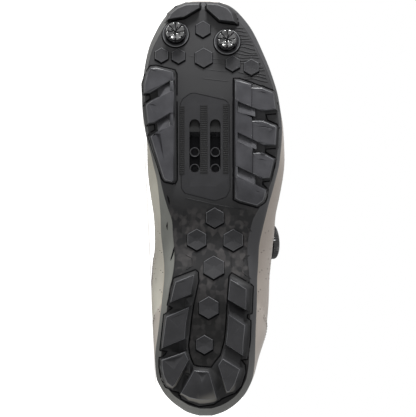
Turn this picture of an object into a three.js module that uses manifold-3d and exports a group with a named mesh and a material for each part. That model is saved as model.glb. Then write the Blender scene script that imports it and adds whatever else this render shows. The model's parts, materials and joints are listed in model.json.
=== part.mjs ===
// A left cycling shoe with a two-bolt cleat sole, lying on its medial side.
//
// The shoe is built in its own frame, in millimetres: x runs from the heel to the toe, y from
// the medial to the lateral side, and z up from the ground that the tread stands on. "along" is
// a share of the sole's length, and "across" a share of the sole's width at that place. At the
// end the whole shoe is laid down on its medial side.

import * as THREE from 'three';
import { mergeVertices } from 'three/addons/utils/BufferGeometryUtils.js';
import { ConvexHull } from 'three/addons/math/ConvexHull.js';
import Module from 'manifold-3d';

const wasm = await Module();
wasm.setup();

// Driving sizes of the sole

const soleLength = 280;
const ballWidth = 94.9;
const heelWidth = 67.5;
const lugDepth = 6.5;
const archLift = 7;
const toeSpring = 15;
const plateThickness = 5.5;
const sideHeight = 11;
const sideLean = 8;
const rimWall = 2;
const padThickness = 1.4;
const lugDraft = 1.2;
const chine = 1.2;

// Driving sizes of the upper

const instepHeight = 118;
const legHeight = 150;
const upperWall = 2.4;
const marginWall = 1.6;
const lastingMargin = 12;
const collarHeight = 88;
const throatWidth = 30;
const tongueThickness = 4;
const tongueHeight = 122;
const tongueMargin = 9;
const tongueCorner = 12;
const insoleThickness = 4;
const toeRound = 30;
const crown = 0.6;

// Driving sizes of the hardware

const slotWidth = 7.1;
const slotLength = 36;
const slotSpacing = 13.9;
const nutPlate = { length: 32, width: 27, thickness: 2.3, thread: 5 };
const studRadius = 6.7;
const studHeight = 7.5;
const studShaft = { radius: 2.5, length: 5 };
const bossRadius = 9.2;
const bossHeight = 1.6;
const hexHeight = 1.5;
const dialRadius = 11.8;
const dialHeight = 4.8;
const dialBaseRadius = 13;
const dialBaseHeight = 1.8;
const guideLength = 8.5;
const guideWidth = 7;
const guideHeight = 3.6;
const guideInset = 1;
const guideLift = 0.65;
const guideClearance = 1.2;
const laceDiameter = 1.6;
const laceLift = 1.6;

// Running clearance between pieces that touch
const gap = 0.35;

// Tables

const table = (columns, rows) =>
  rows.map((row) => Object.fromEntries(columns.map((name, i) => [name, row[i]])));

// The sole's outline seen from below, as shares of its width, and the widest line of the upper
const outline = table(['along', 'medial', 'lateral', 'girthMedial', 'girthLateral'], [
  [0.000, 0.040, 0.020, 0.035, 0.018],
  [0.007, 0.130, 0.075, 0.125, 0.070],
  [0.019, 0.210, 0.170, 0.205, 0.165],
  [0.039, 0.327, 0.275, 0.322, 0.272],
  [0.063, 0.430, 0.375, 0.425, 0.375],
  [0.092, 0.497, 0.443, 0.490, 0.450],
  [0.135, 0.518, 0.475, 0.514, 0.505],
  [0.207, 0.487, 0.488, 0.534, 0.592],
  [0.280, 0.450, 0.500, 0.556, 0.621],
  [0.352, 0.421, 0.503, 0.536, 0.628],
  [0.424, 0.409, 0.479, 0.471, 0.601],
  [0.496, 0.374, 0.481, 0.432, 0.557],
  [0.557, 0.363, 0.495, 0.427, 0.542],
  [0.617, 0.390, 0.519, 0.426, 0.540],
  [0.689, 0.441, 0.535, 0.432, 0.530],
  [0.761, 0.462, 0.512, 0.450, 0.502],
  [0.822, 0.451, 0.462, 0.440, 0.452],
  [0.882, 0.419, 0.391, 0.410, 0.382],
  [0.930, 0.359, 0.322, 0.350, 0.314],
  [0.966, 0.291, 0.242, 0.282, 0.235],
  [0.988, 0.213, 0.160, 0.206, 0.154],
  [0.998, 0.149, 0.078, 0.142, 0.073],
  [1.000, 0.114, 0.014, 0.108, 0.012],
]);

// Shares of the arch lift, the toe spring and the lean of the side wall
const profile = table(['along', 'arch', 'toe', 'lean'], [
  [0.00, 0.10, 0.00, 0.62],
  [0.05, 0.00, 0.00, 0.50],
  [0.30, 0.00, 0.00, 0.50],
  [0.34, 0.22, 0.00, 0.70],
  [0.38, 0.68, 0.00, 0.92],
  [0.42, 1.00, 0.00, 1.00],
  [0.46, 0.84, 0.00, 1.00],
  [0.50, 0.38, 0.00, 0.65],
  [0.54, 0.07, 0.00, 0.38],
  [0.57, 0.00, 0.00, 0.28],
  [0.76, 0.00, 0.00, 0.25],
  [0.81, 0.00, 0.10, 0.25],
  [0.87, 0.00, 0.33, 0.30],
  [0.93, 0.00, 0.63, 0.40],
  [1.00, 0.00, 1.00, 0.50],
]);

// The last above the sole: its ridge as a share of the instep height, the height of its widest
// line as a share of the ridge, and how square its sections are on each side
const last = table(['along', 'ridge', 'bulge', 'squareMedial', 'squareLateral'], [
  [0.00, 1.27, 0.15, 3.6, 2.6],
  [0.20, 1.27, 0.17, 4.2, 2.3],
  [0.36, 1.27, 0.20, 3.8, 2.0],
  [0.41, 1.13, 0.24, 2.8, 1.9],
  [0.46, 0.96, 0.26, 2.4, 2.1],
  [0.52, 0.86, 0.28, 2.3, 2.1],
  [0.60, 0.75, 0.30, 2.2, 2.1],
  [0.70, 0.65, 0.32, 2.2, 2.2],
  [0.80, 0.580, 0.34, 2.3, 2.3],
  [0.90, 0.530, 0.36, 2.4, 2.4],
  [1.00, 0.500, 0.38, 2.4, 2.4],
]);

// The top line of the upper, as a share of the collar height
const collar = table(['along', 'height'], [
  [-0.02, 1.02],
  [0.02, 1.02],
  [0.08, 0.99],
  [0.16, 0.88],
  [0.25, 0.81],
  [0.32, 0.88],
  [0.37, 1.02],
  [0.41, 1.13],
  [0.45, 1.20],
  [0.50, 1.24],
  [0.60, 1.40],
]);

// The back of the heel leans in and out with height, as a share of the heel width
const heelBack = table(['height', 'back'], [
  [0.00, 0.030],
  [0.20, 0.022],
  [0.40, 0.008],
  [0.65, 0.030],
  [0.90, 0.085],
  [1.05, 0.090],
  [1.80, 0.060],
]);

// Half the throat's width as a share of the throat width
const throat = table(['along', 'half'], [
  [0.440, 0.56],
  [0.500, 0.54],
  [0.560, 0.50],
  [0.610, 0.44],
  [0.645, 0.32],
  [0.660, 0.12],
]);

// Each forefoot block: the outline of its thin pad, the faces of its lugs, the steps between
// them and the dents in them. A corner of a step or a dent also has its depth below the lugs'
// faces, as a share of the lugs' depth.
const forefootBlocks = {
  medial: {
    pad: [[0.843, -0.402], [0.844, -0.363], [0.833, -0.231], [0.824, -0.218], [0.569, -0.221],
      [0.561, -0.234], [0.565, -0.310], [0.573, -0.326], [0.675, -0.412], [0.680, -0.408],
      [0.689, -0.365], [0.704, -0.371], [0.702, -0.425], [0.747, -0.444], [0.753, -0.439],
      [0.764, -0.398], [0.778, -0.405], [0.775, -0.446], [0.798, -0.451], [0.824, -0.434]],
    lugs: [
      [[0.838, -0.398], [0.839, -0.355], [0.829, -0.243], [0.808, -0.239], [0.808, -0.263],
        [0.780, -0.402], [0.779, -0.442], [0.798, -0.444], [0.823, -0.425]],
      [[0.782, -0.263], [0.781, -0.239], [0.730, -0.239], [0.730, -0.263], [0.708, -0.371],
        [0.706, -0.417], [0.745, -0.432], [0.751, -0.427], [0.760, -0.387]],
      [[0.700, -0.263], [0.700, -0.239], [0.569, -0.244], [0.565, -0.255], [0.569, -0.302],
        [0.576, -0.315], [0.673, -0.398], [0.683, -0.355]],
      [[0.812, -0.263], [0.812, -0.239], [0.696, -0.239], [0.696, -0.263]],
    ],
    steps: [
      [[0.808, -0.256, 0.50], [0.781, -0.256, 0.04], [0.768, -0.347, 0.04], [0.790, -0.352, 0.55]],
      [[0.731, -0.256, 0.50], [0.699, -0.256, 0.04], [0.684, -0.348, 0.04], [0.712, -0.354, 0.55]],
    ],
    dents: [
      [[0.833, -0.409, 0.01], [0.833, -0.384, 0.22], [0.831, -0.361, 0.01], [0.812, -0.384, 0.01]],
      [[0.750, -0.409, 0.01], [0.751, -0.384, 0.22], [0.748, -0.360, 0.01], [0.730, -0.384, 0.01]],
      [[0.680, -0.366, 0.01], [0.680, -0.348, 0.22], [0.681, -0.330, 0.01], [0.617, -0.306, 0.01]],
    ],
  },
  lateral: {
    pad: [[0.813, 0.194], [0.812, 0.231], [0.784, 0.466], [0.773, 0.480], [0.730, 0.499],
      [0.727, 0.414], [0.712, 0.427], [0.702, 0.494], [0.695, 0.510], [0.647, 0.502],
      [0.644, 0.414], [0.635, 0.414], [0.619, 0.488], [0.568, 0.467], [0.565, 0.401],
      [0.558, 0.406], [0.545, 0.451], [0.517, 0.448], [0.504, 0.398], [0.521, 0.209]],
    lugs: [
      [[0.808, 0.203], [0.807, 0.235], [0.799, 0.313], [0.790, 0.315], [0.790, 0.391],
        [0.779, 0.464], [0.771, 0.476], [0.740, 0.486], [0.736, 0.395], [0.743, 0.334],
        [0.759, 0.217], [0.759, 0.203]],
      [[0.734, 0.203], [0.734, 0.217], [0.719, 0.316], [0.710, 0.320], [0.711, 0.391],
        [0.698, 0.487], [0.693, 0.492], [0.654, 0.485], [0.654, 0.402], [0.663, 0.348],
        [0.684, 0.217], [0.684, 0.203]],
      [[0.661, 0.203], [0.661, 0.217], [0.645, 0.323], [0.633, 0.327], [0.634, 0.391],
        [0.618, 0.475], [0.575, 0.452], [0.573, 0.388], [0.582, 0.349], [0.601, 0.221],
        [0.601, 0.203]],
      [[0.577, 0.206], [0.577, 0.224], [0.561, 0.330], [0.544, 0.436], [0.528, 0.437],
        [0.519, 0.431], [0.508, 0.391], [0.519, 0.254], [0.525, 0.218]],
      [[0.762, 0.203], [0.762, 0.219], [0.575, 0.222], [0.575, 0.206]],
    ],
    steps: [
      [[0.760, 0.213, 0.45], [0.743, 0.343, 0.45], [0.721, 0.343, 0.05], [0.733, 0.213, 0.05]],
      [[0.743, 0.334, 0.62], [0.736, 0.414, 0.62], [0.707, 0.414, 0.62], [0.707, 0.327, 0.62]],
      [[0.683, 0.213, 0.45], [0.663, 0.353, 0.45], [0.642, 0.351, 0.05], [0.660, 0.213, 0.05]],
      [[0.663, 0.331, 0.62], [0.653, 0.412, 0.62], [0.631, 0.412, 0.62], [0.629, 0.331, 0.62]],
      [[0.600, 0.214, 0.45], [0.581, 0.347, 0.45], [0.556, 0.356, 0.05], [0.576, 0.217, 0.05]],
      [[0.581, 0.342, 0.62], [0.571, 0.401, 0.62], [0.549, 0.410, 0.62], [0.554, 0.354, 0.62]],
    ],
    dents: [
      [[0.800, 0.317, 0.14], [0.740, 0.317, 0.14], [0.733, 0.501, 0.00], [0.783, 0.494, 0.00]],
      [[0.716, 0.321, 0.14], [0.663, 0.321, 0.14], [0.648, 0.512, 0.00], [0.704, 0.512, 0.00]],
      [[0.641, 0.323, 0.14], [0.581, 0.328, 0.14], [0.566, 0.474, 0.00], [0.619, 0.498, 0.00]],
      [[0.781, 0.336, 0.10], [0.781, 0.391, 0.34], [0.776, 0.446, 0.05], [0.759, 0.391, 0.06]],
      [[0.699, 0.333, 0.10], [0.698, 0.398, 0.34], [0.693, 0.473, 0.05], [0.675, 0.405, 0.05]],
      [[0.620, 0.336, 0.10], [0.619, 0.384, 0.34], [0.614, 0.434, 0.05], [0.595, 0.393, 0.06]],
      [[0.542, 0.362, 0.01], [0.541, 0.382, 0.30], [0.538, 0.402, 0.01], [0.525, 0.401, 0.01]],
    ],
  },
};

// The horseshoe pad under the heel
const heelPad = [[0.332, -0.324], [0.351, -0.114], [0.346, -0.091], [0.325, -0.088],
  [0.267, -0.140], [0.231, -0.162], [0.195, -0.177], [0.171, -0.190], [0.154, -0.184],
  [0.139, -0.165], [0.123, -0.137], [0.119, -0.100], [0.116, 0.045], [0.131, 0.090],
  [0.145, 0.138], [0.176, 0.175], [0.207, 0.193], [0.280, 0.210], [0.335, 0.225],
  [0.344, 0.246], [0.315, 0.445], [0.308, 0.456], [0.280, 0.450], [0.248, 0.445],
  [0.245, 0.400], [0.236, 0.395], [0.229, 0.433], [0.183, 0.428], [0.138, 0.403],
  [0.136, 0.333], [0.123, 0.376], [0.104, 0.384], [0.072, 0.340], [0.058, 0.296],
  [0.043, 0.146], [0.029, 0.066], [0.024, -0.080], [0.041, -0.250], [0.058, -0.278],
  [0.062, -0.350], [0.087, -0.445], [0.106, -0.467], [0.135, -0.474], [0.148, -0.410],
  [0.157, -0.392], [0.159, -0.464], [0.231, -0.427], [0.245, -0.412], [0.261, -0.335],
  [0.268, -0.392]];

// The heel's lugs: each corner of the face, then the same corner at the root
const heelLugs = [
  [[0.323, -0.317, 0.329, -0.334], [0.340, -0.131, 0.347, -0.104],
    [0.294, -0.157, 0.290, -0.130], [0.274, -0.364, 0.270, -0.385]],
  [[0.239, -0.408, 0.243, -0.425], [0.262, -0.180, 0.266, -0.160],
    [0.224, -0.210, 0.227, -0.185], [0.186, -0.222, 0.182, -0.197],
    [0.164, -0.447, 0.160, -0.462]],
  [[0.135, -0.452, 0.139, -0.470], [0.154, -0.224, 0.158, -0.205],
    [0.135, -0.184, 0.134, -0.165], [0.076, -0.318, 0.071, -0.304],
    [0.070, -0.345, 0.064, -0.342], [0.080, -0.400, 0.072, -0.410],
    [0.099, -0.435, 0.094, -0.453], [0.118, -0.450, 0.118, -0.470]],
  [[0.110, -0.127, 0.114, -0.140], [0.107, 0.018, 0.111, 0.035], [0.043, 0.095, 0.039, 0.135],
    [0.039, 0.010, 0.028, 0.040], [0.039, -0.080, 0.025, -0.070],
    [0.044, -0.175, 0.034, -0.190], [0.055, -0.260, 0.051, -0.275]],
  [[0.123, 0.113, 0.126, 0.093], [0.138, 0.156, 0.144, 0.148], [0.113, 0.328, 0.116, 0.380],
    [0.078, 0.280, 0.072, 0.333], [0.059, 0.225, 0.060, 0.290], [0.058, 0.198, 0.053, 0.190]],
  [[0.245, 0.216, 0.251, 0.206], [0.219, 0.380, 0.225, 0.428], [0.176, 0.363, 0.181, 0.418],
    [0.146, 0.358, 0.140, 0.395], [0.172, 0.188, 0.170, 0.176], [0.207, 0.205, 0.207, 0.196]],
  [[0.330, 0.232, 0.340, 0.234], [0.306, 0.393, 0.311, 0.448], [0.256, 0.390, 0.250, 0.438],
    [0.281, 0.210, 0.278, 0.208]],
];

// The steps between the heel's lugs and the dents in them
const heelSteps = [
  [[0.282, -0.215, 0.55], [0.290, -0.135, 0.55], [0.267, -0.150, 0.55], [0.260, -0.227, 0.55]],
  [[0.178, -0.282, 0.55], [0.186, -0.200, 0.55], [0.160, -0.200, 0.55], [0.152, -0.282, 0.55]],
  [[0.139, -0.168, 0.55], [0.119, -0.136, 0.55], [0.102, -0.167, 0.55], [0.106, -0.232, 0.55]],
  [[0.278, 0.210, 0.70], [0.256, 0.370, 0.70], [0.226, 0.365, 0.35], [0.247, 0.218, 0.35]],
  [[0.171, 0.185, 0.70], [0.146, 0.345, 0.70], [0.114, 0.325, 0.35], [0.138, 0.155, 0.35]],
];
const heelDents = [
  [[0.318, -0.297, 0.01], [0.324, -0.240, 0.18], [0.328, -0.184, 0.01], [0.304, -0.230, 0.01]],
  [[0.234, -0.373, 0.01], [0.243, -0.290, 0.18], [0.249, -0.216, 0.01], [0.214, -0.290, 0.01]],
  [[0.133, -0.430, 0.01], [0.140, -0.330, 0.18], [0.147, -0.232, 0.01], [0.113, -0.330, 0.01]],
  [[0.105, -0.095, 0.01], [0.104, -0.050, 0.18], [0.103, -0.002, 0.01], [0.080, -0.050, 0.01]],
  [[0.129, 0.178, 0.01], [0.121, 0.235, 0.24], [0.112, 0.292, 0.01], [0.094, 0.205, 0.01]],
  [[0.237, 0.230, 0.01], [0.227, 0.295, 0.24], [0.218, 0.348, 0.01], [0.198, 0.270, 0.01]],
  [[0.321, 0.250, 0.01], [0.313, 0.310, 0.24], [0.304, 0.366, 0.01], [0.287, 0.285, 0.01]],
];

// The two lugs at the tip of the toe, in the columns of the heel's lugs
const toeLugs = {
  medial: [[0.993, -0.057, 0.995, -0.048], [0.984, -0.057, 0.982, -0.048],
    [0.963, -0.164, 0.959, -0.161], [0.961, -0.203, 0.957, -0.199],
    [0.957, -0.274, 0.951, -0.293], [0.970, -0.259, 0.970, -0.274],
    [0.983, -0.213, 0.986, -0.220], [0.992, -0.149, 0.995, -0.149]],
  lateral: [[0.993, 0.002, 0.995, -0.007], [0.982, 0.002, 0.980, -0.007],
    [0.955, 0.091, 0.950, 0.087], [0.951, 0.192, 0.943, 0.224],
    [0.971, 0.174, 0.970, 0.203], [0.983, 0.146, 0.985, 0.160], [0.992, 0.078, 0.995, 0.085]],
};

// The hexagonal studs moulded on the plate, each with its radius as a share of the heel width
const hexStuds = table(['along', 'across', 'radius'], [
  [0.933, -0.028, 0.088],
  [0.864, -0.023, 0.104],
  [0.870, -0.323, 0.080],
  [0.868, -0.203, 0.081],
  [0.850, 0.183, 0.085],
  [0.841, 0.316, 0.088],
  [0.478, 0.064, 0.106],
  [0.425, -0.091, 0.113],
  [0.424, 0.236, 0.115],
  [0.358, 0.067, 0.122],
  [0.261, 0.018, 0.117],
  [0.172, -0.025, 0.101],
]);

const toeStuds = { medial: [0.919, -0.223], lateral: [0.901, 0.144] };
const cleatPanel = [[0.752, -0.188], [0.764, -0.171], [0.776, -0.121], [0.778, -0.092],
  [0.761, 0.128], [0.752, 0.156], [0.545, 0.171], [0.528, 0.144], [0.519, 0.062],
  [0.537, -0.165], [0.549, -0.189]];
const cleatCentre = { along: 0.651, across: -0.014 };
const threadRows = [0.636, 0.596];
const dialPlace = { along: 0.418, across: 0.526 };
const leadStarts = {
  medial: new THREE.Vector3(5.5, -5.2, 0),
  lateral: new THREE.Vector3(11.6, -3.9, 0),
};
const guideRows = [0.500, 0.545, 0.588, 0.628];

// Curves through the tables

function follow(rows, key, column, at) {
  if (at <= rows[0][key]) return rows[0][column];
  const end = rows.length - 1;
  if (at >= rows[end][key]) return rows[end][column];
  let i = 0;
  while (rows[i + 1][key] < at) i += 1;
  const slope = (a, b) => (rows[b][column] - rows[a][column]) / (rows[b][key] - rows[a][key]);
  const here = slope(i, i + 1);
  // A tangent is the mean of its two slopes, and level at a turn, so no curve overshoots
  const tangent = (a, b, c) => {
    if (a < 0 || c > end) return here;
    const s = slope(a, b);
    const t = slope(b, c);
    return s * t <= 0 ? 0 : 2 * s * t / (s + t);
  };
  const span = rows[i + 1][key] - rows[i][key];
  const t = (at - rows[i][key]) / span;
  const m0 = tangent(i - 1, i, i + 1) * span;
  const m1 = tangent(i, i + 1, i + 2) * span;
  const [p0, p1] = [rows[i][column], rows[i + 1][column]];
  return (2 * t ** 3 - 3 * t ** 2 + 1) * p0 + (t ** 3 - 2 * t ** 2 + t) * m0
    + (3 * t ** 2 - 2 * t ** 3) * p1 + (t ** 3 - t ** 2) * m1;
}

const alongOf = (x) => x / soleLength;
const clamp01 = (v) => Math.min(1, Math.max(0, v));
const widthAt = (along) =>
  heelWidth + (ballWidth - heelWidth) * THREE.MathUtils.smoothstep(along, 0.32, 0.62);
const place = (along, across) => [along * soleLength, across * widthAt(along)];

// Heights of the sole at a place along it

const underside = (x) => lugDepth + archLift * follow(profile, 'along', 'arch', alongOf(x))
  + toeSpring * follow(profile, 'along', 'toe', alongOf(x));
const treadFace = (x) => underside(x) - lugDepth;
const trayFloor = (x) => underside(x) + plateThickness;
const rimTop = (x) => underside(x) + sideHeight;
const lean = (x) => sideLean * follow(profile, 'along', 'lean', alongOf(x));

// Rings: the stations run up the medial side and back down the lateral side

const stationCount = 27;
const stations = Array.from({ length: stationCount }, (_, i) => {
  const t = i / (stationCount - 1);
  return 0.45 * t + 0.55 * (1 - Math.cos(Math.PI * t)) / 2;
});

function plan(medialColumn, lateralColumn) {
  const side = (column, sign) => stations.map((along) => {
    const across = sign * follow(outline, 'along', column, along);
    return { x: along * soleLength, y: across * widthAt(along), along, side: sign };
  });
  return [...side(medialColumn, -1), ...side(lateralColumn, 1).reverse()];
}

// Moves each point of a ring inwards by inset(point)
function shrink(ring, inset) {
  const n = ring.length;
  return ring.map((p, i) => {
    const a = ring[(i + n - 1) % n];
    const b = ring[(i + 1) % n];
    const length = Math.hypot(b.x - a.x, b.y - a.y) || 1;
    const d = inset(p);
    return { ...p, x: p.x - d * (b.y - a.y) / length, y: p.y + d * (b.x - a.x) / length };
  });
}

const raise = (ring, height) => ring.map((p) => ({ ...p, z: height(p) }));

// A closed solid through rings, with a lid across the first and the last. A lid's inner
// points take their height from lidHeight(x, y), or lie straight across.
function loft(rings, { bottomSteps = 1, topSteps = 1, bottomHeight, topHeight } = {}) {
  const positions = [];
  const triangles = [];
  const add = (x, y, z) => positions.push(x, y, z) / 3 - 1;
  const ids = rings.map((ring) => ring.map((p) => add(p.x, p.y, p.z)));
  const count = rings[0].length;
  const apart = (p, q) => Math.hypot(p.x - q.x, p.y - q.y, p.z - q.z);
  for (let k = 0; k + 1 < rings.length; k += 1) {
    const [low, high] = [rings[k], rings[k + 1]];
    for (let i = 0; i < count; i += 1) {
      const j = (i + 1) % count;
      const [a, b, c, d] = [ids[k][i], ids[k][j], ids[k + 1][j], ids[k + 1][i]];
      // The shorter diagonal, so that two nested forms bend along the same lines
      if (apart(low[i], high[j]) < apart(low[j], high[i])) triangles.push(a, b, c, a, c, d);
      else triangles.push(a, b, d, b, c, d);
    }
  }
  const lid = (ring, names, steps, height, up) => {
    const half = count / 2;
    const face = (a, b, c) => (up ? triangles.push(a, b, c) : triangles.push(a, c, b));
    const line = (j) => {
      const [m, l] = [j, count - 1 - j];
      if (j === 0 || j === half - 1) return [names[m], names[l]];
      const inner = Array.from({ length: steps - 1 }, (_, s) => {
        const t = (s + 1) / steps;
        const [x, y, z] = ['x', 'y', 'z'].map((c) => ring[m][c] + (ring[l][c] - ring[m][c]) * t);
        return add(x, y, height ? height(x, y, z) : z);
      });
      return [names[m], ...inner, names[l]];
    };
    const lines = Array.from({ length: half }, (_, j) => line(j));
    for (let j = 0; j + 1 < half; j += 1) {
      const [a, b] = [lines[j], lines[j + 1]];
      let [s, t] = [0, 0];
      while (s + 1 < a.length || t + 1 < b.length) {
        const moveB = s + 1 >= a.length
          || (t + 1 < b.length && (t + 1) / (b.length - 1) <= (s + 1) / (a.length - 1));
        if (moveB) face(a[s], b[t], b[(t += 1)]);
        else face(a[s], b[t], a[(s += 1)]);
      }
    }
  };
  lid(rings[0], ids[0], bottomSteps, bottomHeight, false);
  const end = rings.length - 1;
  lid(rings[end], ids[end], topSteps, topHeight, true);
  return solid(positions, triangles);
}

function solid(positions, triangles) {
  return new wasm.Manifold(new wasm.Mesh({
    numProp: 3,
    vertProperties: new Float32Array(positions),
    triVerts: new Uint32Array(triangles),
  }));
}

// A solid from a three.js geometry
function solidOf(geometry, matrix = new THREE.Matrix4()) {
  const bare = geometry.index ? geometry.toNonIndexed() : geometry.clone();
  bare.deleteAttribute('normal');
  bare.deleteAttribute('uv');
  bare.applyMatrix4(matrix);
  const merged = mergeVertices(bare, 1e-4);
  return solid(merged.attributes.position.array, merged.index.array);
}

// A solid between two polygons with as many corners, each corner at its own height
function prism(low, high) {
  const n = low.length;
  const area = THREE.ShapeUtils.area(low.map(([x, y]) => new THREE.Vector2(x, y)));
  const order = area > 0 ? (list) => list : (list) => [...list].reverse();
  const [a, b] = [order(low), order(high)];
  const flat = (list) => list.map(([x, y]) => new THREE.Vector2(x, y));
  const positions = [...a, ...b].flat();
  const triangles = [];
  for (const [p, q, r] of THREE.ShapeUtils.triangulateShape(flat(a), [])) triangles.push(p, r, q);
  for (const [p, q, r] of THREE.ShapeUtils.triangulateShape(flat(b), [])) {
    triangles.push(n + p, n + q, n + r);
  }
  for (let i = 0; i < n; i += 1) {
    const j = (i + 1) % n;
    triangles.push(i, j, n + j, i, n + j, n + i);
  }
  return solid(positions, triangles);
}

// A polygon in shares, as points with a height from heightAt(x)
const atHeight = (corners, heightAt) => corners.map(([along, across]) => {
  const [x, y] = place(along, across);
  return [x, y, heightAt(x)];
});

// A polygon with every side moved out by a distance
function spread(points, distance) {
  const n = points.length;
  const area = THREE.ShapeUtils.area(points.map(([x, y]) => new THREE.Vector2(x, y)));
  const sign = Math.sign(area);
  return points.map(([x, y, z], i) => {
    const [ax, ay] = points[(i + n - 1) % n];
    const [bx, by] = points[(i + 1) % n];
    const before = new THREE.Vector2(x - ax, y - ay).normalize();
    const after = new THREE.Vector2(bx - x, by - y).normalize();
    const mid = before.clone().add(after).normalize();
    const reach = distance / Math.max(0.5, mid.dot(before));
    return [x + sign * mid.y * reach, y - sign * mid.x * reach, z];
  });
}

// The sole

const solePlan = plan('medial', 'lateral');
const soleRings = (grow) => {
  const ring = (share, extra, height) => raise(
    shrink(solePlan, (p) => share * lean(p.x) + extra - grow),
    (p) => underside(p.x) + height,
  );
  return {
    outside: [
      ring(1, chine * 1.4, -grow),
      ring(1, 0, chine - grow * 0.4),
      ring(0.42, 0, sideHeight * 0.45),
      ring(0, 0, sideHeight * 0.8),
      ring(0, 0.3, sideHeight + grow),
    ],
    inside: [
      ring(0, rimWall, sideHeight),
      ring(1, rimWall, plateThickness),
    ],
  };
};

const soleBody = (grow) => {
  const { outside } = soleRings(grow);
  return loft(outside, { bottomSteps: 4, bottomHeight: (x) => underside(x) - grow });
};

function makeTray() {
  const { outside, inside } = soleRings(0);
  return loft([...outside, ...inside], {
    bottomSteps: 4,
    bottomHeight: (x) => underside(x),
    topSteps: 4,
    topHeight: (x) => trayFloor(x),
  });
}

function hexStud({ along, across, radius }) {
  const [x, y] = place(along, across);
  const corners = (size, height) => Array.from({ length: 6 }, (_, i) => {
    const turn = i * Math.PI / 3;
    const [cx, cy] = [x + size * Math.cos(turn), y + size * Math.sin(turn)];
    return [cx, cy, height(cx)];
  });
  const size = radius * heelWidth;
  return prism(
    corners(size - hexHeight, (cx) => underside(cx) - hexHeight),
    corners(size, (cx) => underside(cx) + plateThickness / 2),
  );
}

// A round piece whose axis is square to the sole at a place
function roundOn([along, across], radius, low, high, sides = 24) {
  const [x, y] = place(along, across);
  const slope = (underside(x + 1) - underside(x - 1)) / 2;
  const matrix = new THREE.Matrix4().makeRotationY(-Math.atan(slope));
  matrix.setPosition(x, y, underside(x));
  const body = new THREE.CylinderGeometry(radius, radius, high - low, sides);
  body.rotateX(Math.PI / 2).translate(0, 0, (low + high) / 2);
  return solidOf(body, matrix);
}

// What the cleat panel fills in the sole, up to a height above it
function panelWell(grow, height) {
  const at = (level) => spread(atHeight(cleatPanel, level), grow);
  return prism(at((x) => underside(x) - plateThickness), at(height));
}

const slotMiddles = [-1, 1].map((side) => {
  const [x, y] = place(cleatCentre.along, cleatCentre.across);
  return [x, y + side * slotSpacing / 2];
});

function slotCutter([x, y]) {
  const shape = new THREE.Shape();
  const [r, reach] = [slotWidth / 2, (slotLength - slotWidth) / 2];
  shape.absarc(reach, 0, r, -Math.PI / 2, Math.PI / 2, false);
  shape.absarc(-reach, 0, r, Math.PI / 2, 3 * Math.PI / 2, false);
  const body = new THREE.ExtrudeGeometry(shape, {
    depth: plateThickness * 3, bevelEnabled: false, curveSegments: 8,
  });
  return solidOf(body, new THREE.Matrix4().makeTranslation(x, y, underside(x) - plateThickness));
}

function box(x, y, z, length, width, height) {
  const body = new THREE.BoxGeometry(length, width, height);
  return solidOf(body, new THREE.Matrix4().makeTranslation(x, y, z));
}

const nutMiddle = (() => {
  const [x, y] = place((threadRows[0] + threadRows[1]) / 2, cleatCentre.across);
  return [x, y, trayFloor(x) - gap - nutPlate.thickness / 2];
})();

const bosses = Object.values(toeStuds)
  .map((where) => roundOn(where, bossRadius, -bossHeight, plateThickness / 2, 28));
const studShafts = Object.values(toeStuds)
  .map((where) => roundOn(where, studShaft.radius + gap, -bossHeight - gap, studShaft.length));

const tray = makeTray();
let outsole = tray.subtract(panelWell(gap, trayFloor));
for (const hex of hexStuds.map(hexStud)) outsole = outsole.add(hex);
for (const boss of bosses) outsole = outsole.add(boss);
for (const shaft of studShafts) outsole = outsole.subtract(shaft);

let panel = tray.intersect(panelWell(0, (x) => trayFloor(x) - 2 * gap));
for (const middle of slotMiddles) panel = panel.subtract(slotCutter(middle));
panel = panel.subtract(box(
  nutMiddle[0], nutMiddle[1], nutMiddle[2],
  nutPlate.length + 2 * gap, nutPlate.width + 2 * gap, nutPlate.thickness + 2 * gap,
));

let nuts = box(...nutMiddle, nutPlate.length, nutPlate.width, nutPlate.thickness);
for (const [, y] of slotMiddles) {
  for (const along of threadRows) {
    const [radius, depth] = [nutPlate.thread / 2, nutPlate.thickness * 4];
    const hole = new THREE.CylinderGeometry(radius, radius, depth, 16);
    hole.rotateX(Math.PI / 2);
    const where = new THREE.Matrix4().makeTranslation(along * soleLength, y, nutMiddle[2]);
    nuts = nuts.subtract(solidOf(hole, where));
  }
}

// The tread

const soleGrown = soleBody(gap);
const bossesGrown = Object.values(toeStuds)
  .map((where) => roundOn(where, bossRadius + gap, -bossHeight - gap, plateThickness / 2, 28));

// A pad is a patch of the sole's own form, as thick as a pad
const padForm = soleBody(padThickness);
const pad = (corners) => padForm.intersect(prism(
  atHeight(corners, () => 0),
  atHeight(corners, (x) => underside(x) + 2 * chine),
));

// A lug whose wall runs from its face to its root, and a little on into the sole
function lug(face, root) {
  const depth = 1 + chine / lugDepth;
  const beyond = root.map(([x, y], i) => {
    const [fx, fy] = face[i];
    return [fx + (x - fx) * depth, fy + (y - fy) * depth, underside(x) + chine];
  });
  return prism(face.map(([x, y]) => [x, y, treadFace(x)]), beyond);
}

function draftedLug(corners) {
  const face = atHeight(corners, treadFace);
  return lug(face, spread(face, lugDraft));
}

function corneredLug(rows) {
  return lug(
    atHeight(rows.map(([along, across]) => [along, across]), treadFace),
    atHeight(rows.map(([, , along, across]) => [along, across]), treadFace),
  );
}

// The corners of a step or a dent, each at its own depth below the lugs' faces
const sunk = (corners) => corners.map(([along, across, depth]) => {
  const [x, y] = place(along, across);
  return [x, y, treadFace(x) + depth * lugDepth];
});
const step = (corners) => prism(sunk(corners), atHeight(corners, (x) => underside(x) + chine));
const dent = (corners) => prism(atHeight(corners, (x) => treadFace(x) - lugDepth), sunk(corners));

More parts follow.
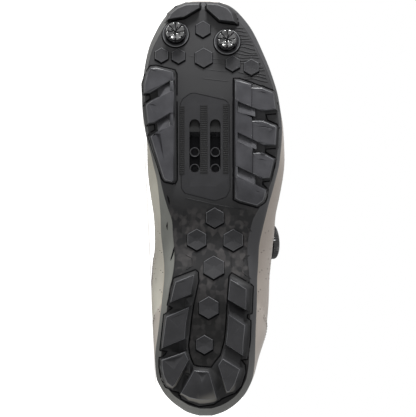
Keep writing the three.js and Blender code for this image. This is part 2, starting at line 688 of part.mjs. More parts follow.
const join = (pieces) => pieces.reduce((all, piece) => all.add(piece));
const cut = (body, cutters) => cutters.reduce((left, cutter) => left.subtract(cutter), body);
const seat = (piece) => cut(piece, [...bossesGrown, soleGrown]);

const forefootTread = ({ pad: corners, lugs, steps, dents }) => seat(cut(
  join([pad(corners), ...lugs.map(draftedLug), ...steps.map(step)]),
  dents.map(dent),
));
const heelTread = seat(cut(
  join([pad(heelPad), ...heelLugs.map(corneredLug), ...heelSteps.map(step)]),
  heelDents.map(dent),
));

function toeStud(where) {
  const foot = -bossHeight - gap;
  const head = roundOn(where, studRadius, foot - studHeight, foot);
  return head.add(roundOn(where, studShaft.radius, foot - 1, studShaft.length - gap, 16));
}

// The last and the upper

const girthPlan = plan('girthMedial', 'girthLateral');
const ridge = (along) => instepHeight * follow(last, 'along', 'ridge', along);
const bulge = (along) => follow(last, 'along', 'bulge', along);
const square = (along, side) =>
  follow(last, 'along', side < 0 ? 'squareMedial' : 'squareLateral', along);
const ridgeLine = (along) => 0.03 * ballWidth * clamp01((along - 0.4) / 0.4) * -1
  + 0.035 * heelWidth * (1 - clamp01((along - 0.3) / 0.3));

// The last's surface at a station: turn 0 is its widest line and turn 90 its ridge
function lastRing(turn, inner) {
  const angle = THREE.MathUtils.degToRad(turn);
  const ring = girthPlan.map((p) => {
    const power = 2 / square(p.along, p.side);
    const close = Math.cos(angle) ** power;
    const rise = Math.sin(angle) ** power;
    const low = rimTop(p.x);
    const top = ridge(p.along);
    const share = bulge(p.along) + (1 - bulge(p.along)) * rise;
    const middle = ridgeLine(p.along);
    const z = low + (top - low) * share;
    const toeward = clamp01((p.along - 0.76) / 0.24) ** 1.35;
    const heelward = clamp01(1 - p.along / 0.3) ** 1.5;
    const back = heelWidth * follow(heelBack, 'height', 'back', z / collarHeight);
    return {
      ...p,
      x: p.x - toeRound * toeward * (1 - close) + back * heelward,
      y: middle + (p.y - middle) * close,
      z,
    };
  });
  return raise(shrink(ring, () => inner * Math.cos(angle)), (p) => p.z - inner * Math.sin(angle));
}

// The last between the sole's rim and its widest line: share 0 is the rim
function lowRing(share, inner) {
  const wide = lastRing(0, inner);
  const narrow = shrink(solePlan, () => rimWall + gap + inner);
  const swing = Math.sin(share * Math.PI / 2);
  return narrow.map((p, i) => {
    const q = wide[i];
    const low = rimTop(p.x) + gap;
    return {
      ...q, x: p.x + (q.x - p.x) * swing, y: p.y + (q.y - p.y) * swing,
      z: low + (q.z - low) * share,
    };
  });
}

const turns = [0, 10, 20, 30, 42, 54, 66, 76, 85];

function lastForm(inner, bottom) {
  const floor = raise(
    shrink(solePlan, (p) => lean(p.x) + rimWall + gap + inner),
    (p) => trayFloor(p.x) + gap + bottom,
  );
  const rings = [
    floor,
    lowRing(0, inner),
    lowRing(0.35, inner),
    lowRing(0.7, inner),
    ...turns.map((turn) => lastRing(turn, inner)),
  ];
  return loft(rings, {
    bottomSteps: 4,
    bottomHeight: (x) => trayFloor(x) + gap + bottom,
    topSteps: 2,
    topHeight: (x, y, z) => z + crown,
  });
}

const sidePlate = (points, halfWidth) => {
  const shape = new THREE.Shape(points.map(([x, z]) => new THREE.Vector2(x, z)));
  const body = new THREE.ExtrudeGeometry(shape, { depth: 2 * halfWidth, bevelEnabled: false });
  body.rotateX(Math.PI / 2).translate(0, halfWidth, 0);
  return solidOf(body);
};

const ceiling = legHeight * 1.4;
const overCollar = (() => {
  const line = [];
  for (let along = -0.05; along <= 0.6001; along += 0.025) {
    line.push([along * soleLength, collarHeight * follow(collar, 'along', 'height', along)]);
  }
  const end = line.length - 1;
  return sidePlate([...line, [line[end][0], ceiling], [line[0][0], ceiling]], ballWidth);
})();

const throatLine = (extra) => {
  const rows = throat.map(({ along, half }) => [along * soleLength, half * throatWidth + extra]);
  const middle = (x) => ridgeLine(alongOf(x));
  const right = rows.map(([x, half]) => [x, middle(x) - half]);
  const left = rows.map(([x, half]) => [x, middle(x) + half]).reverse();
  const back = soleLength * 0.36;
  return [[back, right[0][1]], ...right, ...left, [back, left[left.length - 1][1]]];
};

const upright = (points, low, high) => prism(
  points.map(([x, y]) => [x, y, low]),
  points.map(([x, y]) => [x, y, high]),
);

const throatFloor = trayFloor(soleLength * 0.6) + instepHeight / 4;
const underfoot = (() => {
  const inset = 2 * (sideLean + rimWall + lastingMargin);
  const middle = soleLength / 2;
  const narrow = solePlan.map((p) => ({
    ...p,
    x: middle + (p.x - middle) * (1 - inset / soleLength),
    y: p.y * (1 - inset / ballWidth),
  }));
  const ring = (height) => raise(narrow, (p) => trayFloor(p.x) + height);
  return loft([ring(-plateThickness), ring(2 * marginWall)]);
})();

const upper = lastForm(0, 0)
  .subtract(lastForm(upperWall, marginWall))
  .subtract(underfoot)
  .subtract(overCollar)
  .subtract(upright(throatLine(0), throatFloor, ceiling));

const tongueOuter = upperWall + gap;
const tongueOutline = throatLine(tongueMargin);
const underTongueTop = sidePlate([
  [0.33 * soleLength, throatFloor], [0.70 * soleLength, throatFloor],
  [0.70 * soleLength, tongueHeight * 0.7], [0.52 * soleLength, tongueHeight],
  [0.33 * soleLength, tongueHeight],
], ballWidth);
const tongueRound = (() => {
  const half = throat[0].half * throatWidth + tongueMargin;
  const middle = ridgeLine(throat[0].along);
  const shape = new THREE.Shape();
  shape.moveTo(middle - half, throatFloor);
  shape.lineTo(middle + half, throatFloor);
  shape.absarc(middle + half - tongueCorner, tongueHeight - tongueCorner, tongueCorner,
    0, Math.PI / 2, false);
  shape.absarc(middle - half + tongueCorner, tongueHeight - tongueCorner, tongueCorner,
    Math.PI / 2, Math.PI, false);
  const body = new THREE.ExtrudeGeometry(shape, {
    depth: soleLength, bevelEnabled: false, curveSegments: 5,
  });
  body.rotateX(Math.PI / 2).rotateZ(Math.PI / 2);
  return solidOf(body);
})();
const tongue = lastForm(tongueOuter, marginWall)
  .subtract(lastForm(tongueOuter + tongueThickness, marginWall))
  .intersect(upright(tongueOutline, throatFloor, ceiling))
  .intersect(underTongueTop)
  .intersect(tongueRound);

const insole = (() => {
  const base = gap + marginWall + gap;
  const ring = (extra, height) => raise(
    shrink(solePlan, (p) => lean(p.x) + rimWall + gap + upperWall + extra),
    (p) => trayFloor(p.x) + base + height,
  );
  return loft([ring(1.7, 0), ring(1.1, insoleThickness)], {
    bottomSteps: 2, topSteps: 2,
    bottomHeight: (x) => trayFloor(x) + base,
    topHeight: (x) => trayFloor(x) + base + insoleThickness,
  });
})();

// The lacing: places on the upper's outside, with the way out of it

function onUpper(along, across) {
  const x = along * soleLength;
  const y = across * widthAt(along);
  const side = Math.sign(y - ridgeLine(along)) || 1;
  const column = side < 0 ? 'girthMedial' : 'girthLateral';
  const half = (a) => side * follow(outline, 'along', column, a) * widthAt(a);
  const heightAt = (px, py) => {
    const a = alongOf(px);
    const middle = ridgeLine(a);
    const power = square(a, side);
    const close = clamp01((py - middle) / (half(a) - middle)) ** (power / 2);
    const rise = Math.sqrt(1 - close ** 2) ** (2 / power);
    const share = bulge(a) + (1 - bulge(a)) * rise;
    return rimTop(px) + (ridge(a) - rimTop(px)) * share;
  };
  const step = 0.5;
  const normal = new THREE.Vector3(
    heightAt(x - step, y) - heightAt(x + step, y),
    heightAt(x, y - step) - heightAt(x, y + step),
    2 * step,
  ).normalize();
  return { point: new THREE.Vector3(x, y, heightAt(x, y)), normal };
}

// A frame on the upper: z out of it, x as near as can be to the toe
function standOn({ point, normal }, lift, turn = 0) {
  const toeward = new THREE.Vector3(1, 0, 0);
  const sideways = new THREE.Vector3().crossVectors(normal, toeward).normalize();
  const forward = new THREE.Vector3().crossVectors(sideways, normal);
  const matrix = new THREE.Matrix4().makeBasis(forward, sideways, normal);
  matrix.setPosition(point.clone().addScaledVector(normal, lift));
  return matrix.multiply(new THREE.Matrix4().makeRotationZ(turn));
}

function disc(matrix, radius, low, high, sides) {
  const body = new THREE.CylinderGeometry(radius, radius, high - low, sides);
  body.rotateX(Math.PI / 2).translate(0, 0, (low + high) / 2);
  return solidOf(body, matrix);
}

const dialSpot = onUpper(dialPlace.along, dialPlace.across);
const dialSeat = 2 * gap;
const dialFrame = standOn(dialSpot, dialSeat);
const dialBase = disc(dialFrame, dialBaseRadius, 0, dialBaseHeight, 32);
const dialKnob = disc(dialFrame, dialRadius, dialBaseHeight + gap,
  dialBaseHeight + gap + dialHeight, 32);

// The guides stand along both edges of the throat
const guideSpots = [-1, 1].map((side) => guideRows.map((along) => {
  const edge = follow(throat, 'along', 'half', along) * throatWidth;
  const y = ridgeLine(along) + side * (edge + guideInset + guideWidth / 2);
  return onUpper(along, y / widthAt(along));
}));
const guide = (spot) => {
  const body = new THREE.BoxGeometry(guideLength, guideWidth, guideHeight);
  body.translate(0, 0, guideHeight / 2);
  return solidOf(body, standOn(spot, guideLift));
};

function lace(points) {
  const shape = new THREE.Shape();
  shape.absarc(0, 0, laceDiameter / 2, 0, 2 * Math.PI, false);
  return solidOf(new THREE.ExtrudeGeometry(shape, {
    steps: 8, curveSegments: 2, bevelEnabled: false,
    extrudePath: new THREE.CatmullRomCurve3(points),
  }));
}

// A lace run over the upper, straight in plan, from the dial's base to a top guide
function lead(from, side) {
  const target = guideSpots[side][0].point;
  const start = dialSpot.point.clone().add(from);
  const away = new THREE.Vector2(target.x - start.x, target.y - start.y);
  const reach = 1 - (guideLength / 2 + guideClearance) / away.length();
  return lace(Array.from({ length: 7 }, (_, i) => {
    const share = reach * i / 6;
    const [x, y] = [start.x + away.x * share, start.y + away.y * share];
    const { point, normal } = onUpper(alongOf(x), y / widthAt(alongOf(x)));
    return point.addScaledVector(normal, laceLift);
  }));
}

// Two lace runs that cross over the tongue between one row of guides and the next
function crossing(row) {
  const height = guideLift + guideHeight / 2;
  const end = (side, r) => {
    const spot = guideSpots[side][r];
    return spot.point.clone().addScaledVector(spot.normal, height);
  };
  const run = (from, to) => {
    const middle = from.clone().add(to).multiplyScalar(0.5);
    const { point } = onUpper(alongOf(middle.x), middle.y / widthAt(alongOf(middle.x)));
    middle.z = point.z + laceDiameter;
    const path = new THREE.QuadraticBezierCurve3(
      from, middle.clone().multiplyScalar(2).sub(from.clone().add(to).multiplyScalar(0.5)), to,
    );
    const reach = guideWidth / 2 + guideClearance;
    const trim = reach / path.getLength();
    return lace(Array.from({ length: 5 }, (_, i) => path.getPointAt(trim + (1 - 2 * trim) * i / 4)));
  };
  return run(end(0, row), end(1, row + 1)).add(run(end(1, row), end(0, row + 1)));
}

// The pieces

const finishes = {
  plate: { color: 0x2b2b2d, roughness: 0.55, metalness: 0 },
  rubber: { color: 0x3a3a3c, roughness: 0.75, metalness: 0 },
  hard: { color: 0x161618, roughness: 0.25, metalness: 0 },
  steel: { color: 0x6d6d70, roughness: 0.4, metalness: 1 },
  knit: { color: 0xaaa39b, roughness: 0.8, metalness: 0 },
  lining: { color: 0x4a4745, roughness: 0.95, metalness: 0 },
  cord: { color: 0x202022, roughness: 0.5, metalness: 0 },
};

const pieces = [];
const addPiece = (name, finish, body) => pieces.push({ name, finish, body });

addPiece('outsole', 'plate', outsole);
addPiece('cleat_panel', 'plate', panel);
addPiece('cleat_nut_plate', 'steel', nuts);
addPiece('tread_forefoot_medial', 'rubber', forefootTread(forefootBlocks.medial));
addPiece('tread_forefoot_lateral', 'rubber', forefootTread(forefootBlocks.lateral));
addPiece('tread_heel', 'rubber', heelTread);
addPiece('tread_toe_medial', 'rubber', seat(corneredLug(toeLugs.medial)));
addPiece('tread_toe_lateral', 'rubber', seat(corneredLug(toeLugs.lateral)));
addPiece('toe_stud_medial', 'hard', toeStud(toeStuds.medial));
addPiece('toe_stud_lateral', 'hard', toeStud(toeStuds.lateral));
addPiece('upper', 'knit', upper);
addPiece('tongue', 'lining', tongue);
addPiece('insole', 'lining', insole);
addPiece('dial_base', 'hard', dialBase);
addPiece('dial_knob', 'hard', dialKnob);
guideRows.forEach((row, i) => {
  addPiece(`lace_guide_medial_${i + 1}`, 'hard', guide(guideSpots[0][i]));
  addPiece(`lace_guide_lateral_${i + 1}`, 'hard', guide(guideSpots[1][i]));
});
for (let i = 0; i + 1 < guideRows.length; i += 1) {
  addPiece(`lace_crossing_${i + 1}`, 'cord', crossing(i));
}
addPiece('lace_lead_medial', 'cord', lead(leadStarts.medial, 0));
addPiece('lace_lead_lateral', 'cord', lead(leadStarts.lateral, 1));

function meshOf({ name, finish, body }) {
  const { vertProperties, triVerts } = body.getMesh();
  const geometry = new THREE.BufferGeometry();
  geometry.setAttribute('position', new THREE.BufferAttribute(new Float32Array(vertProperties), 3));
  geometry.setIndex(new THREE.BufferAttribute(new Uint32Array(triVerts), 1));
  geometry.computeVertexNormals();
  const mesh = new THREE.Mesh(geometry, new THREE.MeshStandardMaterial(finishes[finish]));
  mesh.name = name;
  return mesh;
}

// The shoe lies down on its medial side, on the face of its hull that it rests on

const shoe = new THREE.Group();
for (const piece of pieces) shoe.add(meshOf(piece));

function restTurn(group) {
  const points = [];
  for (const mesh of group.children) {
    const position = mesh.geometry.attributes.position;
    for (let i = 0; i < position.count; i += 1) {
      points.push(new THREE.Vector3().fromBufferAttribute(position, i));
    }
  }
  const hull = new ConvexHull().setFromPoints(points);
  const medial = new THREE.Vector3(0, -1, 0);
  const down = hull.faces
    .filter((face) => face.area > 50)
    .map((face) => face.normal.clone())
    .sort((a, b) => b.dot(medial) - a.dot(medial))[0];
  return new THREE.Quaternion().setFromUnitVectors(down, medial);
}

const level = new THREE.Group();
level.quaternion.copy(restTurn(shoe));
level.add(shoe);

// Medial side down, sole to the front, toe to the left
const laid = new THREE.Group();
laid.matrixAutoUpdate = false;
laid.matrix.makeBasis(
  new THREE.Vector3(-1, 0, 0), new THREE.Vector3(0, 0, 1), new THREE.Vector3(0, 1, 0),
);
laid.add(level);

const part = new THREE.Group();
part.add(laid);
part.updateMatrixWorld(true);
const bounds = new THREE.Box3().setFromObject(part, true);
part.position.set(
  -(bounds.min.x + bounds.max.x) / 2, -(bounds.min.y + bounds.max.y) / 2, -bounds.min.z,
);
part.updateMatrixWorld(true);

export default part;
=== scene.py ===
"""A left cycling shoe with a lugged two-bolt sole, lying on its medial side.

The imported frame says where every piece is. This script builds the shoe's looks around it: the
moulded sole with its studs, the rubber tread, the coated upper with its padded collar, the tongue,
the insole, and the wire lace with its dial. Lengths are millimetres in the shoe's own axes, x from
the heel to the toe, y from the medial to the lateral side and z up from the ground, and each piece
is turned into the row frame when its mesh is made.
"""

import json
import logging
import math
from dataclasses import dataclass, field
from enum import Enum
from typing import Any, Iterable, Sequence, Union

import bmesh
import bpy
import numpy as np
from mathutils import Matrix, Vector
from mathutils.bvhtree import BVHTree
from mathutils.geometry import delaunay_2d_cdt


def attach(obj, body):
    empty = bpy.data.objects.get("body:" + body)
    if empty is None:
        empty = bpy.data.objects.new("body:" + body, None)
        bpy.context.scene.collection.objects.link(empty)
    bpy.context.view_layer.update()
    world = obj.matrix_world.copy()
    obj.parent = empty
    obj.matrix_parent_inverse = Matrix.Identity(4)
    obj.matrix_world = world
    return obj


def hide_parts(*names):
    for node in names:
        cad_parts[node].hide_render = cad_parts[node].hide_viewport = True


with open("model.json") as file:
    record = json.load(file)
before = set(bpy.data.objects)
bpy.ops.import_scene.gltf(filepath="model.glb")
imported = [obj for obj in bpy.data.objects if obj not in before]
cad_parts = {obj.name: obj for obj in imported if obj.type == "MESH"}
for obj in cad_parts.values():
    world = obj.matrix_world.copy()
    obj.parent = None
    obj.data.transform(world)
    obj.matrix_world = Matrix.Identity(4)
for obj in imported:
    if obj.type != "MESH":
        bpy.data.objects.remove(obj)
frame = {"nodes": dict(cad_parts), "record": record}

MM = 0.001
BODY = "root"
Colour = tuple[float, float, float, float]
Value = Union[float, Sequence[float], "Sock"]

log = logging.getLogger("shoe")


def linear(code: int, gain: float = 1.0) -> Colour:
    """Turns a display colour into the linear one that shaders take.

    Args:
        code: The colour as 0xrrggbb.
        gain: How much brighter the linear colour is made.

    Returns:
        Red, green, blue and an alpha of one.
    """
    parts = [((code >> shift) & 255) / 255 for shift in (16, 8, 0)]
    r, g, b = (gain * (p / 12.92 if p <= 0.04045 else ((p + 0.055) / 1.055) ** 2.4) for p in parts)
    return (r, g, b, 1.0)


# Shaders


@dataclass(frozen=True)
class Sock:
    """A shader socket that takes part in arithmetic."""

    graph: "Graph"
    out: bpy.types.NodeSocket

    def _math(self, operation: str, first: Value, second: Value) -> "Sock":
        """Adds one Math node."""
        return self.graph.add("ShaderNodeMath", {"operation": operation}, {0: first, 1: second})

    def __add__(self, other: Value) -> "Sock":
        """self + other."""
        return self._math("ADD", self, other)

    __radd__ = __add__

    def __sub__(self, other: Value) -> "Sock":
        """self - other."""
        return self._math("SUBTRACT", self, other)

    def __rsub__(self, other: Value) -> "Sock":
        """other - self."""
        return self._math("SUBTRACT", other, self)

    def __mul__(self, other: Value) -> "Sock":
        """self * other."""
        return self._math("MULTIPLY", self, other)

    __rmul__ = __mul__

    def __truediv__(self, other: Value) -> "Sock":
        """self / other."""
        return self._math("DIVIDE", self, other)

    def sin(self) -> "Sock":
        """The sine of the value."""
        return self._math("SINE", self, 0.0)

    def ramp(self, low: float, high: float) -> "Sock":
        """Maps low to 0 and high to 1, smoothly, and holds the value beyond them."""
        return self.graph.add(
            "ShaderNodeMapRange",
            {"interpolation_type": "SMOOTHSTEP"},
            {"Value": self, "From Min": low, "From Max": high},
        )

    def within(self, start: float, full: float, fade: float, end: float) -> "Sock":
        """One from full to fade, falling smoothly to nothing at start and at end."""
        return self.ramp(start, full) * (1.0 - self.ramp(fade, end))


class Graph:
    """The node tree of one material."""

    def __init__(self, name: str) -> None:
        """Starts a material with a plain shader."""
        self.material = bpy.data.materials.new(name)
        self.material.use_nodes = True
        self.tree = self.material.node_tree
        self.shader = self.tree.nodes["Principled BSDF"]

    def add(
        self,
        kind: str,
        settings: dict[str, Any] | None = None,
        inputs: dict[Any, Value] | None = None,
        output: int | str = 0,
    ) -> Sock:
        """Adds a node.

        Args:
            kind: The node's type.
            settings: Its own settings, which are set first.
            inputs: Values or sockets by the input's name or number.
            output: The output to hand back.

        Returns:
            That output.
        """
        node = self.tree.nodes.new(kind)
        for name, value in (settings or {}).items():
            setattr(node, name, value)
        for key, value in (inputs or {}).items():
            self.feed(node.inputs[key], value)
        return Sock(self, node.outputs[output])

    def feed(self, socket: bpy.types.NodeSocket, value: Value) -> None:
        """Links a socket, or sets it."""
        if isinstance(value, Sock):
            self.tree.links.new(value.out, socket)
        else:
            socket.default_value = value

    def set(self, **values: Value) -> None:
        """Sets the shader's own sockets, named with _ for each space."""
        for name, value in values.items():
            self.feed(self.shader.inputs[name.replace("_", " ")], value)

    def blend(self, share: Value, first: Value, second: Value) -> Sock:
        """Mixes two colours."""
        settings = {"data_type": "RGBA"}
        return self.add("ShaderNodeMix", settings, {0: share, 6: first, 7: second}, 2)

    def attribute(self, name: str) -> Sock:
        """A number that is stored at each point of the mesh."""
        return self.add("ShaderNodeAttribute", {"attribute_name": name}, None, "Fac")

    def dot(self, vector: Sock, way: np.ndarray) -> Sock:
        """How far a vector reaches along a fixed way."""
        settings = {"operation": "DOT_PRODUCT"}
        return self.add("ShaderNodeVectorMath", settings, {0: vector, 1: tuple(way)}, "Value")

    def shoe_axes(self, place: "ShoeFrame") -> list[Sock]:
        """The point's x, y and z in the shoe's own axes, in millimetres."""
        point = self.add("ShaderNodeTexCoord", output="Object")
        return [self.dot(point, axis / MM) - float(axis @ place.origin) / MM for axis in place.axes]

    def vector(self, x: Value, y: Value, z: Value) -> Sock:
        """Joins three values into a vector."""
        return self.add("ShaderNodeCombineXYZ", None, {0: x, 1: y, 2: z})

    def noise(self, vector: Sock, scale: float, detail: float = 2.0, rough: float = 0.5) -> Sock:
        """Smooth noise from 0 to 1."""
        inputs = {"Vector": vector, "Scale": scale, "Detail": detail, "Roughness": rough}
        return self.add("ShaderNodeTexNoise", None, inputs)

    def cells(self, vector: Sock, scale: float, soft: float) -> Sock:
        """Random soft patches from 0 to 1."""
        settings = {"feature": "SMOOTH_F1"}
        inputs = {"Vector": vector, "Scale": scale, "Smoothness": soft, "Randomness": 0.7}
        patches = self.add("ShaderNodeTexVoronoi", settings, inputs, "Color")
        return self.add("ShaderNodeSeparateColor", None, {0: patches})

    def bump(self, height: Sock, depth: float, strength: float = 1.0) -> Sock:
        """A normal from a height.

        Args:
            height: The height, from 0 to 1.
            depth: What a height of one stands for, in millimetres.
            strength: How much of it shows.

        Returns:
            The bent normal.
        """
        inputs = {"Strength": strength, "Distance": depth * MM, "Height": height}
        return self.add("ShaderNodeBump", None, inputs)


# The frame


@dataclass(frozen=True)
class ShoeFrame:
    """Where the shoe's own axes lie in the row frame."""

    origin: np.ndarray
    axes: np.ndarray

    HEEL = np.array([54.25, -23.78, 0.0])
    BALL = np.array([173.13, -26.24, 0.0])

    @classmethod
    def from_record(cls, record: dict[str, Any]) -> "ShoeFrame":
        """Works the axes out from the two tread mounts.

        Args:
            record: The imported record.

        Returns:
            The shoe's frame.
        """
        mounts = {mount["name"]: mount for mount in record["mounts"]}
        heel = np.array(mounts["heel_tread"]["pos_m"])
        ball = np.array(mounts["ball_tread"]["pos_m"])
        up = -np.array(mounts["heel_tread"]["axis"])
        up /= np.linalg.norm(up)
        run = ball - heel
        run -= up * (run @ up)
        run /= np.linalg.norm(run)
        across = np.cross(up, run)
        own = cls.BALL - cls.HEEL
        turn = math.atan2(own[1], own[0])
        toe = run * math.cos(turn) - across * math.sin(turn)
        lateral = run * math.sin(turn) + across * math.cos(turn)
        axes = np.array([toe, lateral, up])
        return cls(heel - (cls.HEEL * MM) @ axes, axes)

    def to_row(self, points: np.ndarray) -> np.ndarray:
        """Moves points from the shoe's millimetres to the row frame's metres."""
        return self.origin + (np.asarray(points, float) * MM) @ self.axes

    def to_shoe(self, points: np.ndarray) -> np.ndarray:
        """Moves points from the row frame's metres to the shoe's millimetres."""
        return ((np.asarray(points, float) - self.origin) @ self.axes.T) / MM


class Curve:
    """A smooth curve through one column of a short table, which never overshoots."""

    def __init__(self, at: Sequence[float], value: Sequence[float]) -> None:
        """Works out the tangents."""
        self.at, self.value = np.array(at, float), np.array(value, float)
        slope = np.diff(self.value) / np.diff(self.at)
        product = slope[:-1] * slope[1:]
        total = slope[:-1] + slope[1:]
        inner = np.where(product > 0, 2 * product / np.where(total == 0, 1, total), 0)
        self.tangent = np.concatenate([[slope[0]], inner, [slope[-1]]])

    def __call__(self, at: Any) -> np.ndarray:
        """The curve's value at one place or many."""
        at = np.clip(np.asarray(at, float), self.at[0], self.at[-1])
        i = np.clip(np.searchsorted(self.at, at) - 1, 0, len(self.at) - 2)
        span = self.at[i + 1] - self.at[i]
        t = (at - self.at[i]) / span
        return (
            (2 * t**3 - 3 * t**2 + 1) * self.value[i]
            + (t**3 - 2 * t**2 + t) * span * self.tangent[i]
            + (3 * t**2 - 2 * t**3) * self.value[i + 1]
            + (t**3 - t**2) * span * self.tangent[i + 1]
        )


def curves(columns: str, rows: Sequence[Sequence[float]]) -> dict[str, Curve]:
    """Makes a curve of each column of a table against its first one.

    Args:
        columns: The columns' names, apart by spaces.
        rows: The table.

    Returns:
        The curves by name.
    """
    names, table = columns.split(), np.array(rows, float)
    return {name: Curve(table[:, 0], table[:, k]) for k, name in enumerate(names) if k}


OUTLINE = curves("along medial lateral girth_medial girth_lateral", [
    (0.000, 0.075, 0.050, 0.060, 0.040), (0.007, 0.182, 0.146, 0.165, 0.132),
    (0.019, 0.268, 0.238, 0.250, 0.222), (0.039, 0.374, 0.336, 0.355, 0.320),
    (0.063, 0.452, 0.408, 0.440, 0.400), (0.092, 0.506, 0.458, 0.496, 0.460),
    (0.135, 0.520, 0.480, 0.516, 0.508), (0.207, 0.487, 0.488, 0.534, 0.592),
    (0.280, 0.450, 0.500, 0.556, 0.621), (0.352, 0.421, 0.503, 0.536, 0.628),
    (0.424, 0.409, 0.479, 0.471, 0.601), (0.496, 0.374, 0.481, 0.432, 0.557),
    (0.557, 0.363, 0.495, 0.427, 0.552), (0.617, 0.390, 0.519, 0.426, 0.554),
    (0.689, 0.441, 0.535, 0.432, 0.546), (0.761, 0.462, 0.512, 0.450, 0.508),
    (0.822, 0.451, 0.462, 0.440, 0.452), (0.882, 0.419, 0.391, 0.410, 0.382),
    (0.930, 0.359, 0.322, 0.350, 0.314), (0.966, 0.291, 0.242, 0.282, 0.235),
    (0.988, 0.218, 0.168, 0.211, 0.161), (0.998, 0.150, 0.085, 0.143, 0.080),
    (1.000, 0.105, 0.020, 0.100, 0.018),
])
PROFILE = curves("along arch toe lean", [
    (0.00, 0.10, 0.00, 0.62), (0.05, 0.00, 0.00, 0.50), (0.30, 0.00, 0.00, 0.50),
    (0.34, 0.22, 0.00, 0.70), (0.38, 0.68, 0.00, 0.92), (0.42, 1.00, 0.00, 1.00),
    (0.46, 0.84, 0.00, 1.00), (0.50, 0.38, 0.00, 0.65), (0.54, 0.07, 0.00, 0.38),
    (0.57, 0.00, 0.00, 0.28), (0.76, 0.00, 0.00, 0.25), (0.81, 0.00, 0.10, 0.25),
    (0.87, 0.00, 0.33, 0.30), (0.93, 0.00, 0.63, 0.40), (1.00, 0.00, 1.00, 0.50),
])
LAST = curves("along ridge bulge square_medial square_lateral", [
    (0.00, 1.27, 0.15, 3.6, 2.6), (0.20, 1.27, 0.17, 4.2, 2.3), (0.36, 1.27, 0.20, 3.8, 2.0),
    (0.41, 1.13, 0.24, 2.8, 1.9), (0.46, 0.96, 0.26, 2.4, 2.1), (0.52, 0.86, 0.28, 2.3, 2.1),
    (0.60, 0.75, 0.30, 2.2, 2.1), (0.70, 0.65, 0.32, 2.2, 2.2), (0.80, 0.580, 0.34, 2.3, 2.3),
    (0.90, 0.530, 0.36, 2.4, 2.4), (1.00, 0.500, 0.38, 2.4, 2.4),
])
COLLAR = curves("along height", [
    (-0.02, 1.02), (0.02, 1.02), (0.08, 0.99), (0.16, 0.88), (0.25, 0.81), (0.32, 0.88),
    (0.37, 1.02), (0.41, 1.13), (0.45, 1.20), (0.50, 1.24), (0.60, 1.40),
])
HEEL_BACK = curves("height back", [
    (0.00, 0.030), (0.20, 0.022), (0.40, 0.008), (0.65, 0.030), (0.90, 0.085), (1.05, 0.090),
    (1.80, 0.060),
])
THROAT = curves("along half", [
    (0.440, 0.56), (0.500, 0.54), (0.560, 0.50), (0.610, 0.44), (0.645, 0.32), (0.660, 0.12),
])


class Side(Enum):
    """The two sides of the shoe."""

    MEDIAL = -1
    LATERAL = 1


